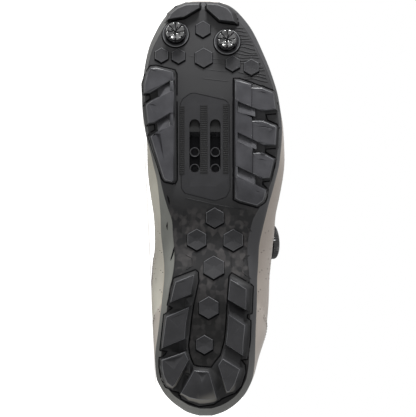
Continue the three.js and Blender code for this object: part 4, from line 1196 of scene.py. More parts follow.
@dataclass
class Outsole(Assembly):
    """The moulded plate, with its studs, bosses, ridges and creases."""

    count: int = 110
    across: int = 18
    boss_radius: float = 9.2
    boss_height: float = 1.6
    hex_height: float = 1.5
    # How far the hexes' near-black foot is moved back towards the heel, as a painted drop shadow
    hex_drop_shadow: float = 0.75
    ridge_height: float = 0.32
    ridge_step: float = 1.5
    toe_ridge_count: int = 17
    toe_ridge_front: float = 262.0
    toe_ridge_pitch: float = 2.15
    toe_ridge_margin: float = 3.6
    toe_ridge_least: float = 5.0
    drape_reach: float = 60.0
    bvh: BVHTree = field(init=False)

    HEXES = (
        # along, across, radius as a share of the heel width, depth of the dish
        (0.933, -0.028, 0.088, 0.15), (0.864, -0.023, 0.104, 0.15), (0.870, -0.323, 0.080, 0.15),
        (0.868, -0.203, 0.081, 0.15), (0.850, 0.183, 0.085, 0.15), (0.841, 0.316, 0.088, 0.45),
        (0.478, 0.064, 0.106, 0.95), (0.425, -0.091, 0.113, 0.95), (0.424, 0.236, 0.115, 0.95),
        (0.358, 0.067, 0.122, 0.95), (0.261, 0.018, 0.117, 0.9), (0.172, -0.025, 0.101, 0.9),
    )
    BOSSES = ((0.919, -0.223), (0.901, 0.144))
    PANEL = (
        (0.752, -0.188), (0.764, -0.171), (0.776, -0.121), (0.778, -0.092), (0.761, 0.128),
        (0.752, 0.156), (0.545, 0.171), (0.528, 0.144), (0.519, 0.062), (0.537, -0.165),
        (0.549, -0.189),
    )
    # Low ridges moulded on the plate, as points along and across the shoe in millimetres
    RIDGES = (
        ((147.2, -14.8), (143.0, 3.4), (141.7, 10.1), (139.0, 25.6)),
        ((109.3, -14.8), (106.6, -10.1), (101.2, -10.1), (98.5, -14.8)),
        ((108.6, 29.0), (105.9, 24.3), (97.2, 23.6), (92.4, 30.0)),
        ((110.0, 16.4), (98.0, 16.6)),
        ((130.9, 24.3), (124.1, 30.4)),
        ((134.3, -19.6), (130.2, -17.5), (123.5, -17.5)),
        ((138.3, -15.5), (126.2, -10.8)),
    )
    # Crescent creases in the medial wall, laid as near-black ridges of painted shade: each with its
    # three points
    CREASES = (
        ((149.0, -27.0), (145.0, -25.2), (142.4, -25.4)),
        ((131.0, -26.8), (128.0, -27.3), (125.4, -26.8)),
        ((114.2, -22.1), (109.3, -22.9), (104.8, -24.6)),
    )

    def spot(self, along: float, across: float) -> np.ndarray:
        """A place given as shares, in millimetres."""
        return np.array([along * self.shape.length, across * float(self.shape.width(along))])

    def profile(self) -> list[tuple[float, float, float]]:
        """The wall's section: share of the lean, extra inset and height above the underside."""
        s = self.shape
        rows = []
        for turn in np.linspace(0, math.pi / 2, 5):
            rows.append((1.0, 1.4 * s.chine * (1 - math.sin(turn)), s.chine * (1 - math.cos(turn))))
        knee = 0.8 * s.side_height
        for height in np.linspace(s.chine, knee, 9)[1:]:
            rows.append((max(0.0, (knee - height) / (knee - s.chine)) ** 1.3, 0.0, height))
        top = s.side_height
        rows += [(0, 0.1, top - 0.7), (0, 0.35, top - 0.2), (0, 0.8, top), (0, 1.6, top)]
        rows += [(0, 2.0, top - 0.4), (1, 2.0, s.plate)]
        return rows

    def form(self) -> Form:
        """The tray, open where the cleat panel sits."""
        s, n = self.shape, self.count
        ring = s.plan(n)
        rings = []
        for share, extra, height in self.profile():
            x, y = s.shrink(ring["x"], ring["y"], share * s.lean(ring["x"]) + extra)
            rings.append(np.stack([x, y, s.underside(x) + height], 1))
        form = Form()
        walls = np.array([self.with_ends(r) for r in rings])
        form.sheet(walls[:5], 0, round_v=True)
        form.sheet(walls[4:], 1, round_v=True)
        self.floor(form, rings[0], 0.0, flip=True)
        self.floor(form, rings[-1], s.plate, flip=False)
        corners = grow(self.panel_corners(), s.gap)
        edge = [
            np.column_stack([corners, s.underside(corners[:, 0]) + height])
            for height in (0.0, s.plate)
        ]
        form.sheet(edge, 0, round_v=True, flip=True)
        return form

    def panel_corners(self) -> np.ndarray:
        """The cleat panel's corners, anticlockwise seen from above."""
        corners = np.array([self.spot(*corner) for corner in self.PANEL])
        return corners if area(corners) > 0 else corners[::-1]

    def floor(self, form: Form, ring: np.ndarray, height: float, flip: bool) -> None:
        """Adds the underside or the floor inside, open where the cleat panel sits.

        Args:
            form: What takes the faces.
            ring: Its edge, as the plan's ring.
            height: Its height above the underside.
            flip: Turns it to face the ground.
        """
        grid = between_sides(ring[:, :2], self.across)
        corners = grow(self.panel_corners(), self.shape.gap)
        inner = grid[1:-1, 1:-1].reshape(-1, 2)
        inner = inner[~inside(grow(corners, 0.6), inner)]
        edge = self.with_ends(ring)[:, :2]
        points = [Vector(p) for p in np.concatenate([edge, corners, inner])]
        loops, base = [], 0
        for count in (len(edge), len(corners)):
            loops += [(base + i, base + (i + 1) % count) for i in range(count)]
            base += count
        found, _, faces, *_ = delaunay_2d_cdt(points, loops, [], 1, 1e-5)
        flat = np.array([tuple(p) for p in found])
        middle = np.array([flat[list(face)].mean(0) for face in faces])
        kept = inside(edge, middle) & ~inside(corners, middle)
        points = np.column_stack([flat, self.shape.underside(flat[:, 0]) + height])
        rows = [tuple(face) for face, keep in zip(faces, kept) if keep]
        if flip:
            rows = [row[::-1] for row in rows]
        form.add(points, rows, 0)

    def with_ends(self, ring: np.ndarray) -> np.ndarray:
        """Adds the points across the toe and the heel to a ring.

        Args:
            ring: Points up the medial side and back down the lateral side.

        Returns:
            The closed ring.
        """
        n, t = self.count, np.linspace(0, 1, self.across + 1)[1:-1, None]
        ends = []
        for start, end in ((ring[n - 1], ring[n]), (ring[-1], ring[0])):
            row = start + (end - start) * t
            row[:, 2] = self.shape.underside(row[:, 0]) + end[2] - self.shape.underside(end[0])
            ends.append(row)
        return np.concatenate([ring[:n], ends[0], ring[n:], ends[1]])

    def drape(self, points: Any, above: float = 0.0) -> np.ndarray:
        """Lays points of the plan on the sole's outside, seen from below.

        Args:
            points: Their x and y.
            above: How far they stand off it, towards the ground.

        Returns:
            The points with their height.
        """
        out = []
        for x, y in np.asarray(points, float)[:, :2]:
            hit = self.bvh.ray_cast(Vector((x, y, -self.drape_reach)), Vector((0, 0, 1)))[0]
            height = hit.z if hit else float(self.shape.rim_top(x))
            out.append((x, y, height - above))
        return np.array(out)

    def hexagon(self, form: Form, along: float, across: float, radius: float, dish: float) -> None:
        """Adds a six-sided stud with a fine bevel and a dished face of six facets; its near-black walls,
        with their foot moved back towards the heel, are a painted drop shadow, and its bevel a painted
        highlight.
        """
        x, y = self.spot(along, across)
        size = radius * self.shape.heel_width
        under = self.shape.underside

        def ring(r: float, drop: float, back: float = 0.0) -> np.ndarray:
            """One ring of corners, drop below the underside, moved back towards the heel for the painted
            drop shadow.
            """
            turn = np.arange(6) * math.pi / 3
            px, py = x - back + r * np.cos(turn), y - r * np.sin(turn)
            return np.stack([px, py, under(px) - drop], 1)

        top = self.hex_height
        rings = [
            ring(size + 0.3, -1.0, self.hex_drop_shadow), ring(size + 0.2, 0.05, self.hex_drop_shadow),
            ring(size - 0.35, top - 0.3),
            ring(size - 0.7, top), ring(size - 1.0, top), ring(size - 1.3, top - 0.1),
            ring(size * 0.16, top - dish),
        ]
        # Painted shadow on the near-black walls, and painted highlight on the bevel
        form.sheet(rings[:3], 3, round_v=True)
        form.sheet(rings[2:4], 2, round_v=True)
        form.sheet(rings[3:], 4, round_v=True)
        form.fan(rings[-1], 4)

    def boss(self, form: Form, along: float, across: float) -> None:
        """Adds the round seat of a toe stud.

        Args:
            form: What takes the faces.
            along: Its place along the shoe, as a share.
            across: Its place across the shoe, as a share.
        """
        body = Spot.on_sole(self.shape, *self.spot(along, across))
        r, h = self.boss_radius, self.boss_height
        wall = [(r + 0.45, 1.2), (r + 0.35, -0.05), (r - 0.1, -h + 0.6), (r - 0.35, -h + 0.15)]
        rim = [wall[-1], (r - 0.7, -h), (r - 1.0, -h + 0.05), (r - 1.3, -h + 0.3)]
        seat = [rim[-1], (6.95, -h + 0.5), (6.9, -h + 1.4), (2.9, -h + 1.4), (2.9, 3.0)]
        # Painted shade on the near-black outer wall and inner seat wall, and painted highlight on the
        # paler rim
        for rows, slot in ((wall, 3), (rim, 2), (seat[:2], 4), (seat[1:], 3)):
            form.sheet([body.ring(*row, -circle(64)) for row in rows], slot, round_v=True)

    def ridge(self, form: Form, points: Any, width: float, slot: int, height: float) -> None:
        """Adds a low moulded ridge along a line of the plan.

        Args:
            form: What takes the faces.
            points: The line.
            width: The ridge's width.
            slot: The material.
            height: Its height.
        """
        points = np.asarray(points, float)
        steps = lengths_along(points)
        at = np.linspace(0, steps[-1], max(3, int(steps[-1] / self.ridge_step)))
        line = sampled(points, steps, at)
        run = np.gradient(line, axis=0)
        run /= np.linalg.norm(run, axis=1, keepdims=True)
        side = np.stack([-run[:, 1], run[:, 0]], 1)
        taper = np.sqrt(np.clip(np.minimum(at, at[-1] - at) / (2 * width), 0.02, 1))[:, None]
        rows = []
        for share, rise in ((-1, -0.15), (-0.55, 0.8), (0, 1.0), (0.55, 0.8), (1, -0.15)):
            rows.append(self.drape(line + side * share * taper * width / 2, rise * height))
        form.sheet(rows, slot, flip=True)

    def toe_ridges(self, form: Form) -> None:
        """Adds the fine stepped ridges on the lateral side of the toe, and four faint ones."""
        for i in range(self.toe_ridge_count):
            x = self.toe_ridge_front - self.toe_ridge_pitch * i
            along = x / self.shape.length
            edge = float(OUTLINE["lateral"]([along])[0]) * float(self.shape.width(along))
            edge -= self.toe_ridge_margin
            start = 15.0 + 5.0 * abs(math.sin(0.9 * i)) + (6.0 if i > 11 else 0.0)
            if edge - start < self.toe_ridge_least:
                continue
            y = np.linspace(start, edge, 7)
            bend = x - 3.2 * ((y - start) / 24) ** 1.6 + 0.6 * np.sin(y * 0.35 + i)
            self.ridge(form, np.stack([bend, y], 1), 0.9, 0, self.ridge_height * 1.4)
        for i, x in enumerate((243.0, 240.5, 235.4, 229.0)):
            y = np.linspace(-12.0 + 3 * i, 14.0, 7)
            self.ridge(form, np.stack([x - 0.12 * (y + 12), y], 1), 0.8, 0, 0.2)

    def build(self) -> None:
        """Builds the plate, its hexagons and its low relief."""
        form, f = self.form(), self.finishes
        self.bvh = BVHTree.FromPolygons(np.concatenate(form.points).tolist(), form.faces)
        # Slot 2 is the painted highlight on bevels and rims, slot 3 the near-black rubber of painted
        # shade
        slots = [f.plate, f.wall, f.edge, f.line, f.panel]
        self.piece(form, "outsole_plate", slots, "plate", "outsole", sharp=40, weld=0.004)
        studs = Form()
        for row in self.HEXES:
            self.hexagon(studs, *row)
        self.piece(studs, "outsole_hexes", slots, "plate", sharp=5, levels=True)
        relief = Form()
        for place in self.BOSSES:
            self.boss(relief, *place)
        self.toe_ridges(relief)
        for line in self.RIDGES:
            self.ridge(relief, line, 0.9, 0, self.ridge_height)
        t = np.linspace(0, 1, 9)[:, None]
        for first, middle, last in np.array(self.CREASES):
            fine = first * (1 - t) ** 2 + 2 * t * (1 - t) * middle + t * t * last
            # Painted shade: the creases are near-black ridges
            self.ridge(relief, fine, 1.1, 3, 0.25)
        self.piece(relief, "outsole_relief", slots, "plate", sharp=25, levels=True)


def inside(polygon: np.ndarray, points: np.ndarray) -> np.ndarray:
    """Which points lie inside a polygon."""
    x, y = points[:, 0][:, None], points[:, 1][:, None]
    ax, ay = polygon[:, 0][None], polygon[:, 1][None]
    bx, by = np.roll(ax, -1, 1), np.roll(ay, -1, 1)
    crosses = (ay > y) != (by > y)
    rise = np.where(by == ay, 1, by - ay)
    return (crosses & (x < (bx - ax) * (y - ay) / rise + ax)).sum(1) % 2 == 1


def area(points: np.ndarray) -> float:
    """The signed area of a polygon."""
    x, y = points[:, 0], points[:, 1]
    return float(np.sum(x * np.roll(y, -1) - np.roll(x, -1) * y)) / 2


def grow(points: np.ndarray, distance: float) -> np.ndarray:
    """Moves the sides of an anticlockwise polygon outwards."""
    before = points - np.roll(points, 1, 0)
    after = np.roll(points, -1, 0) - points
    before = before / np.linalg.norm(before, axis=1, keepdims=True)
    after = after / np.linalg.norm(after, axis=1, keepdims=True)
    mid = before + after
    mid /= np.linalg.norm(mid, axis=1, keepdims=True)
    reach = distance / np.maximum(0.5, np.sum(mid * before, 1))
    return points + np.stack([mid[:, 1], -mid[:, 0]], 1) * reach[:, None]


@dataclass
class ToeStuds(Assembly):
    """The two glossy screw-in studs, each of eight petals with a crossed slot."""

    outsole: Outsole
    radius: float = 6.7
    height: float = 7.5
    foot: float = 1.95
    slot_width: float = 0.9
    slot_reach: float = 3.5
    count: int = 192

    # Radius and height above the foot, up the wall and then in over the dished face
    WALL = ((5.8, 0.0), (6.4, 0.5), (6.7, 1.4), (6.7, 3.8), (6.6, 5.4), (6.45, 6.3))
    FACE = ((6.2, 6.9), (5.9, 7.2), (5.5, 7.3), (5.0, 7.15), (4.0, 6.7), (3.0, 6.2), (2.0, 5.8),
            (1.2, 5.6), (0.5, 5.55))

    def build(self) -> None:
        """Builds both."""
        for side, place in zip(Side, self.outsole.BOSSES):
            self.stud(side, Spot.on_sole(self.shape, *self.outsole.spot(*place)))

    def stud(self, side: Side, body: Spot) -> None:
        """Builds one stud.

        Args:
            side: Its side of the shoe.
            body: Where it stands.
        """
        turn = circle(self.count)
        valley = np.exp(-((np.sin(4 * turn) / 0.3) ** 2))
        petal = np.abs(np.sin(4 * turn))
        rings = []
        for radius, rise in self.WALL:
            flute = 0.45 * valley * min(1.0, rise / 3.0)
            rings.append(body.ring(radius - flute, -(self.foot + rise), -turn))
        for radius, rise in self.FACE:
            share = radius / self.radius
            sink = valley * 1.25 * share - 0.28 * petal * share
            rings.append(
                body.ring(radius - 0.45 * valley * share, -(self.foot + rise - sink), -turn)
            )
        form = Form()
        form.sheet(rings, 0, round_v=True)
        form.fan(rings[0], 0, flip=True)
        form.fan(rings[-1], 1)
        for quarter in range(4):
            self.slot(form, body, quarter * math.pi / 2 + math.pi / 8)
        form.stack([body.ring(2.5, height, -circle(24)) for height in (4.6, -self.foot - 0.4)])
        slots = [self.finishes.stud, self.finishes.line]
        name = f"toe_stud_{side.name.lower()}"
        self.piece(form, f"{name}_petals", slots, "gloss_black", name, sharp=50, weld=0.005)

    def slot(self, form: Form, body: Spot, turn: float) -> None:
        """Adds one dark arm of the crossed slot.

        Args:
            form: What takes the faces.
            body: Where the stud stands.
            turn: The arm's angle.
        """
        u = np.linspace(0.2, self.slot_reach, 5)
        radii, rises = zip(*self.FACE[::-1])
        rows = []
        for across, lift in ((-1, -0.3), (-0.8, 0.16), (0.8, 0.16), (1, -0.3)):
            v = across * self.slot_width / 2
            rows.append(body.at(
                u * math.cos(turn) - v * math.sin(turn), u * math.sin(turn) + v * math.cos(turn),
                -(self.foot + np.interp(u, radii, rises) + lift),
            ))
        form.sheet(rows, 1, flip=True)


@dataclass
class Tread(Assembly):
    """The rubber tread: lugs with fine bevels on thin pads, each pad with a dark line of painted shade
    round it.
    """

    outsole: Outsole
    bevel: float = 0.42
    # The dark line of painted shade round each pad: its width and how far it stands off the sole
    shade_line_width: float = 0.95
    shade_line_height: float = 0.16
    weld: float = 0.012

    NODES = ("tread_forefoot_medial", "tread_forefoot_lateral", "tread_heel",
             "tread_toe_medial", "tread_toe_lateral")

    def copied(self, node: str) -> bmesh.types.BMesh:
        """A welded copy of a node's mesh."""
        work = bmesh.new()
        work.from_mesh(frame["nodes"][node].data)
        bmesh.ops.remove_doubles(work, verts=work.verts, dist=self.weld * MM)
        work.normal_update()
        return work

    def is_top(self, face: bmesh.types.BMFace) -> bool:
        """Whether a face is the top of a lug."""
        tall = self.level(face.calc_center_median()) > 0.55 * self.shape.lug_depth
        return tall and face.normal.dot(self.down) > 0.9

    @property
    def down(self) -> Vector:
        """The way from the sole to the ground."""
        return -Vector(self.place.axes[2])

    def level(self, point: Vector) -> float:
        """How far a point stands off the sole's underside, in millimetres."""
        x, _, z = self.place.to_shoe([point])[0]
        return float(self.shape.underside(x)) - z

    def chamfered(self, node: str, name: str, materials: Sequence[bpy.types.Material],
                  width: float) -> bpy.types.Object:
        """Copies a node and chamfers the edges of its lugs' tops.

        Args:
            node: The node.
            name: The new piece's name.
            materials: The face's and the painted edge highlight's.
            width: The chamfer's width in millimetres.

        Returns:
            The new piece.
        """
        work = self.copied(node)
        flat = [e for e in work.edges if all(self.is_top(face) for face in e.link_faces)]
        bmesh.ops.dissolve_limit(work, angle_limit=math.radians(1.0), verts=[], edges=flat)
        tops = {face for face in work.faces if self.is_top(face)}
        ring = set(bmesh.ops.inset_region(
            work, faces=list(tops), thickness=width * MM, depth=0.0, use_even_offset=False,
            use_boundary=True,
        )["faces"])
        walls = set()
        for v in {v for face in ring for v in face.verts}:
            beyond = [face for face in v.link_faces if face not in tops and face not in ring]
            if min((self.level(w.co) for face in beyond for w in face.verts), default=9.0) < 4.0:
                walls.add(v)
        # Painted highlight: the chamfer next to a wall takes the paler edge rubber
        for face in ring:
            face.material_index = int(sum(v in walls for v in face.verts) >= 2)
        for v in walls:
            v.co -= self.down * (0.8 * width * MM)
        mesh = bpy.data.meshes.new(name)
        work.to_mesh(mesh)
        work.free()
        thing = make_object(name, mesh, materials, 22)
        mark_levels(thing, self.shape, self.place)
        return thing

    def painted_shade_outline(self, node: str) -> None:
        """Lays the dark line of painted shade round a pad: its plan, spread a little and draped on the
        sole.
        """
        work = self.copied(node)
        points = self.place.to_shoe([v.co for v in work.verts])
        normals = np.array([v.normal for v in work.verts]) @ self.place.axes.T
        flat = np.hypot(normals[:, 0], normals[:, 1])
        reach = np.where(flat > 0.2, self.shade_line_width / np.maximum(flat, 0.2), 0)
        points[:, 0] += normals[:, 0] * reach
        points[:, 1] += normals[:, 1] * reach
        draped = self.outsole.drape(points, self.shade_line_height)
        form = Form()
        form.add(draped, [[v.index for v in f.verts] for f in work.faces])
        work.free()
        self.piece(form, f"{node}_outline", [self.finishes.line], "tread")

    def build(self) -> None:
        """Builds every pad and its dark line of painted shade."""
        for node in self.NODES:
            slots = [self.finishes.lug, self.finishes.edge]
            piece = self.chamfered(node, f"{node}_lugs", slots, self.bevel)
            settle(piece, "tread", node)
            self.painted_shade_outline(node)


@dataclass
class CleatPlate(Assembly):
    """The cleat panel with its ribbed strips, and the threaded plate behind its slots."""

    outsole: Outsole
    tread: Tread
    bevel: float = 0.3
    nut_place: float = 180.0
    nut_thickness: float = 2.3
    collar_gap: float = 0.05
    rib_pitch: float = 1.45
    rib_height: float = 0.2
    slot_width: float = 7.1
    slot_length: float = 36.0
    slot_spacing: float = 13.9
    ramp_length: float = 8.6

    # Each strip: its middle across and its width, and where it starts and ends along the shoe
    STRIPS = ((-16.9, 3.5, 162.8, 209.2), (-2.1, 5.0, 163.5, 209.8), (12.6, 3.7, 163.5, 210.5))
    CENTRE = (0.651, -0.014)
    THREADS = (0.636, 0.596)
    # A collar's rings: radius, and how far each stands below the threaded plate
    COLLAR = ((3.25, -0.4), (3.25, 0.5), (3.1, 0.75), (2.9, 0.75), (2.45, 0.1), (2.3, -0.3),
              (2.42, -0.6), (2.3, -0.9), (2.42, -1.2), (2.3, -1.5), (2.42, -1.8), (2.3, -2.1))

    def build(self) -> None:
        """Builds the panel, its relief and the threads."""
        f = self.finishes
        panel = self.tread.chamfered("cleat_panel", "cleat_panel_face", [f.panel], self.bevel)
        settle(panel, "plate", "cleat_panel")
        # Painted shade: the steel nut plate behind the slots takes the near-black rubber
        nuts = self.tread.chamfered("cleat_nut_plate", "cleat_nut_face", [f.line], self.bevel)
        settle(nuts, "steel", "cleat_nut_plate")
        relief, rings = Form(), Form()
        for strip in self.STRIPS:
            self.strip(relief, *strip)
        x, middle = self.outsole.spot(*self.CENTRE)
        sides = [middle + side.value * self.slot_spacing / 2 for side in Side]
        for y in sides:
            self.ramp(relief, x, y)
        self.piece(relief, "cleat_panel_relief", [f.strip, f.panel], "plate", sharp=30, levels=True)
        depth = float(self.shape.tray_floor(self.nut_place)) - self.shape.gap
        depth -= self.nut_thickness + self.collar_gap
        for along in self.THREADS:
            for y in sides:
                self.collar(rings, (along * self.shape.length, y), depth)
        self.piece(rings, "cleat_thread_collars", [f.steel], "steel", sharp=50)

    def strip(self, form: Form, middle: float, width: float, start: float, end: float) -> None:
        """Adds one ribbed strip."""
        under = self.shape.underside

        def block(x0: float, x1: float, half: float, rise: float, soft: float) -> None:
            """Adds one low block with a bevelled face."""
            rings = []
            for inset, height in ((0, -0.1), (0, rise - soft), (soft, rise)):
                xs = np.array([x0 + inset, x1 - inset, x1 - inset, x0 + inset])
                ys = middle + (half - inset) * np.array([-1, -1, 1, 1])
                rings.append(np.stack([xs, ys, under(xs) - height], 1)[::-1])
            form.sheet(rings, 0, round_v=True)
            form.fan(rings[-1], 0)

        block(start, end, width / 2, 0.1, 0.05)
        for x in np.arange(start + 0.6, end - 0.6, self.rib_pitch):
            block(x, x + self.rib_pitch * 0.52, width / 2 - 0.15, 0.1 + self.rib_height, 0.12)

    def ramp(self, form: Form, x: float, y: float) -> None:
        """Adds the scooped ramp at the toe end of a slot, in the darker strip rubber as painted shade.
        """
        half = self.slot_width / 2
        tip = x + self.slot_length / 2
        t = np.linspace(0, 1, 9)
        rows = []
        for across in np.linspace(-1, 1, 9):
            reach = math.sqrt(max(0.0, 1 - across * across)) * half
            end = tip - half + reach
            xs = (tip - self.ramp_length) + (end - tip + self.ramp_length) * t
            scoop = 0.9 + 1.6 * t**1.5 + 0.5 * (1 - across * across)
            zs = self.shape.underside(xs) + scoop
            rows.append(np.stack([xs, np.full(9, y + across * (half - 0.02)), zs], 1))
        # Painted shade: the scoop takes the darker strip rubber
        form.sheet(rows, 0, flip=True)
        front = np.array(rows)[:, 0]
        form.sheet([front, front + np.array([0.0, 0.0, 2.2])], 1)

    def collar(self, form: Form, spot: tuple[float, float], height: float) -> None:
        """Adds one threaded collar, which flares towards the ground."""
        turn = -circle(36)
        rings = []
        for radius, drop in self.COLLAR:
            ring = [spot[0] + radius * np.cos(turn), spot[1] + radius * np.sin(turn)]
            rings.append(np.stack([*ring, np.full(len(turn), height - drop)], 1))
        form.sheet(rings, 0, round_v=True)


# The upper


@dataclass
class Upper(Assembly):
    """The coated upper with its raised toe cap, heel cup and throat facing, stitched and bound."""

    count: int = 132
    rows: int = 56
    low_steps: int = 14
    turn_steps: int = 70
    thickest: float = 6.0
    relief: float = 0.55
    facing: float = 11.0
    facing_start: float = 0.30
    overlay_edge: float = 1.6
    margin: float = 9.0
    throat_low: float = 44.0
    roll: float = 1.6
    roll_end: float = 0.47
    roll_fade: float = 0.08
    stitch_pitch: float = 3.1
    stitch_length: float = 2.2
    stitch_width: float = 0.55
    hole_length: float = 1.6
    hole_width: float = 0.6
    proud: np.ndarray = field(init=False)
    skin: np.ndarray = field(init=False)
    normals: np.ndarray = field(init=False)
    lengths: np.ndarray = field(init=False)

    def columns(self) -> np.ndarray:
        """Points up every station's column, from the rim to the ridge."""
        s = self.shape
        girth, sole = s.plan(self.count, girth=True), s.plan(self.count)
        wide = s.last_ring(girth, 0)
        nx, ny = s.shrink(sole["x"], sole["y"], s.rim_wall + s.gap)
        low = s.rim_top(sole["x"]) + s.gap
        rings = []
        for share in np.linspace(0, 1, self.low_steps, endpoint=False):
            swing = math.sin(share * math.pi / 2)
            rings.append(np.stack([
                nx + (wide[:, 0] - nx) * swing,
                ny + (wide[:, 1] - ny) * swing,
                low + (wide[:, 2] - low) * share,
            ], 1))
        for turn in np.linspace(0, 90, self.turn_steps):
            rings.append(s.last_ring(girth, float(turn)))
        return np.array(rings).transpose(1, 0, 2)

    def keep(self, points: np.ndarray) -> np.ndarray:
        """Positive where the upper is kept, and negative in its openings."""
        s = self.shape
        along = points[..., 0] / s.length
        below = s.collar_top(points[..., 0]) - points[..., 2]
        aside = np.abs(points[..., 1] - s.middle(along)) - s.throat_half(along)
        open_here = (along > s.throat_start) & (along < s.throat_end)
        open_here &= points[..., 2] > self.throat_low
        return np.minimum(below, np.where(open_here, aside, 1e3))

    def shape_skin(self) -> None:
        """Cuts every column at the openings and spaces its points evenly."""
        columns, skin, lengths = self.columns(), [], []
        for column in columns:
            kept = self.keep(column)
            out = np.nonzero(kept < 0)[0]
            if len(out):
                k = max(1, int(out[0]))
                t = kept[k - 1] / (kept[k - 1] - kept[k])
                last = column[k - 1] + (column[k] - column[k - 1]) * t
                column = np.vstack([column[:k], last])
            at = lengths_along(column)
            skin.append(sampled(column, at, np.linspace(0, at[-1], self.rows)))
            lengths.append(at[-1])
        self.skin, self.lengths = np.array(skin), np.array(lengths)
        du = np.roll(self.skin, -1, 0) - np.roll(self.skin, 1, 0)
        dv = np.gradient(self.skin, axis=1)
        normal = np.cross(du, dv)
        size = np.linalg.norm(normal, axis=2, keepdims=True)
        self.normals = normal / np.maximum(size, 1e-6)

    def is_open(self) -> np.ndarray:
        """Whether a column ends at an opening."""
        end = self.skin[:, -1]
        middle = self.shape.middle(end[:, 0] / self.shape.length)
        return np.abs(end[:, 1] - middle) > 1.5

    def raised(self) -> np.ndarray:
        """How much each point stands proud, from 0 to 1: toe cap, heel cup and facing."""
        s = self.shape
        share = np.linspace(0, 1, self.rows)[None, :]
        along = s.plan(self.count, girth=True)["along"][:, None]

        def edge(value: np.ndarray, width: float = self.overlay_edge) -> np.ndarray:
            """A soft step at zero."""
            return smooth(np.clip(value / width + 0.5, 0, 1))

        toe = edge((along - self.toe_line(share)) * s.length)
        heel = edge((self.heel_line(share) - along) * s.length)
        facing = edge(self.facing - (1 - share) * self.lengths[:, None])
        facing = facing * self.is_open()[:, None] * edge((along - self.facing_start) * s.length, 12.0)
        return np.maximum(np.maximum(toe, heel), facing)

    def rolled(self, points: np.ndarray) -> np.ndarray:
        """How much of the padded roll the edge has, from 0 at the throat to 1 at the collar."""
        along = points[:, 0] / self.shape.length
        return np.clip((self.roll_end - along) / self.roll_fade, 0, 1)

    @staticmethod
    def toe_line(share: Any) -> np.ndarray:
        """Where the toe cap ends along the shoe, by the share of the way up."""
        return 0.800 + 0.045 * np.asarray(share, float) ** 1.6

    @staticmethod
    def heel_line(share: Any) -> np.ndarray:
        """Where the heel cup ends along the shoe, by the share of the way up."""
        return 0.275 - 0.175 * np.asarray(share, float) ** 1.3

    def point(self, column: float, share: float) -> tuple[np.ndarray, np.ndarray]:
        """A place on the upper's outside.

        Args:
            column: The column's number, which need not be whole.
            share: How far up the column, from 0 to 1.

        Returns:
            The point and the way out.
        """
        total = len(self.skin)
        i, u = int(math.floor(column)), column - math.floor(column)
        row = min(max(share, 0.0), 1.0) * (self.rows - 1)
        j = min(int(row), self.rows - 2)
        v = row - j
        found = []
        for grid in (self.proud, self.normals):
            a = grid[i % total, j] * (1 - v) + grid[i % total, j + 1] * v
            b = grid[(i + 1) % total, j] * (1 - v) + grid[(i + 1) % total, j + 1] * v
            found.append(a * (1 - u) + b * u)
        return found[0], found[1] / max(np.linalg.norm(found[1]), 1e-6)

    def build(self) -> None:
        """Builds the shell, its binding, seams and pinholes."""
        self.shape_skin()
        self.proud = self.skin + self.normals * (self.raised() * self.relief)[..., None]
        self.build_shell()
        self.build_binding()
        seams, holes = Form(), Form()
        self.sew_openings(seams)
        self.sew_lines(seams)
        self.piece(seams, "upper_stitching", [self.finishes.thread], "upper", sharp=60)
        self.prick(holes)
        self.piece(holes, "upper_pinholes", [self.finishes.hole], "upper", sharp=60)

    def build_shell(self) -> None:
        """Builds the hollow shell with its lining and lasting margin."""
        s, f = self.shape, self.finishes
        sole, rings = s.plan(self.count), []
        for inset in (self.margin, 0.0):
            inset = s.lean(sole["x"]) + s.rim_wall + s.gap + inset
            x, y = s.shrink(sole["x"], sole["y"], inset)
            rings.append(np.stack([x, y, s.tray_floor(x) + s.gap], 1)[:, None])
        grid = np.concatenate([*rings, self.proud], 1)
        form = Form()
        form.sheet(grid, 0, round_u=True, flip=True)
        shell = form.build("upper_shell", self.place, [f.upper, f.lining, f.binding], 50)
        depth = np.full(grid.shape[:2], s.wall / self.thickest)
        down = (1 - np.linspace(0, 1, self.rows))[None, :] * self.lengths[:, None]
        collar = self.is_open() * self.rolled(self.skin[:, -1])
        swell = np.exp(-((down - 11) / 10) ** 2) * collar[:, None]
        depth[:, 2:] += swell * (self.thickest - s.wall) / self.thickest * 0.85
        depth[:, :3] = s.margin_wall / self.thickest
        group = shell.vertex_groups.new(name="wall")
        for i, weight in enumerate(depth.ravel()):
            group.add([i], float(min(1.0, weight)), "REPLACE")
        rise = grid[..., 2] - s.rim_top(grid[..., 0])
        film = np.zeros(grid.shape[:2])
        film[:, 2:] = self.raised() * (rise[:, 2:] > 1.0)
        store(shell, "proud", film)
        store(shell, "rise", rise)
        wall = shell.modifiers.new("wall", "SOLIDIFY")
        wall.thickness, wall.offset = self.thickest * MM, -1.0
        wall.vertex_group, wall.thickness_vertex_group = "wall", 0.0
        wall.material_offset, wall.material_offset_rim = 1, 2
        bpy.context.view_layer.update()
        apply_modifiers(shell)
        settle(shell, "upper", "upper")

    def opening(self) -> list[int]:
        """The columns round the opening, in order."""
        total = len(self.skin)
        found = [i for i in range(total) if self.is_open()[i]]
        lateral = [i for i in found if i >= total // 2]
        medial = [i for i in found if i < total // 2]
        return lateral + medial

    def build_binding(self) -> None:
        """Builds the rolled edge round the collar and the throat."""
        path = self.opening()
        edge, out = self.proud[path, -1], self.normals[path, -1]
        width = self.shape.wall + self.roll * self.rolled(edge)
        form = Form()
        middle = edge - out * width[:, None] / 2
        form.tube(middle, (width + 1.0) / 2, 0, 14, closed=True, out=out)
        self.piece(form, "upper_binding", [self.finishes.binding], "upper", sharp=60)

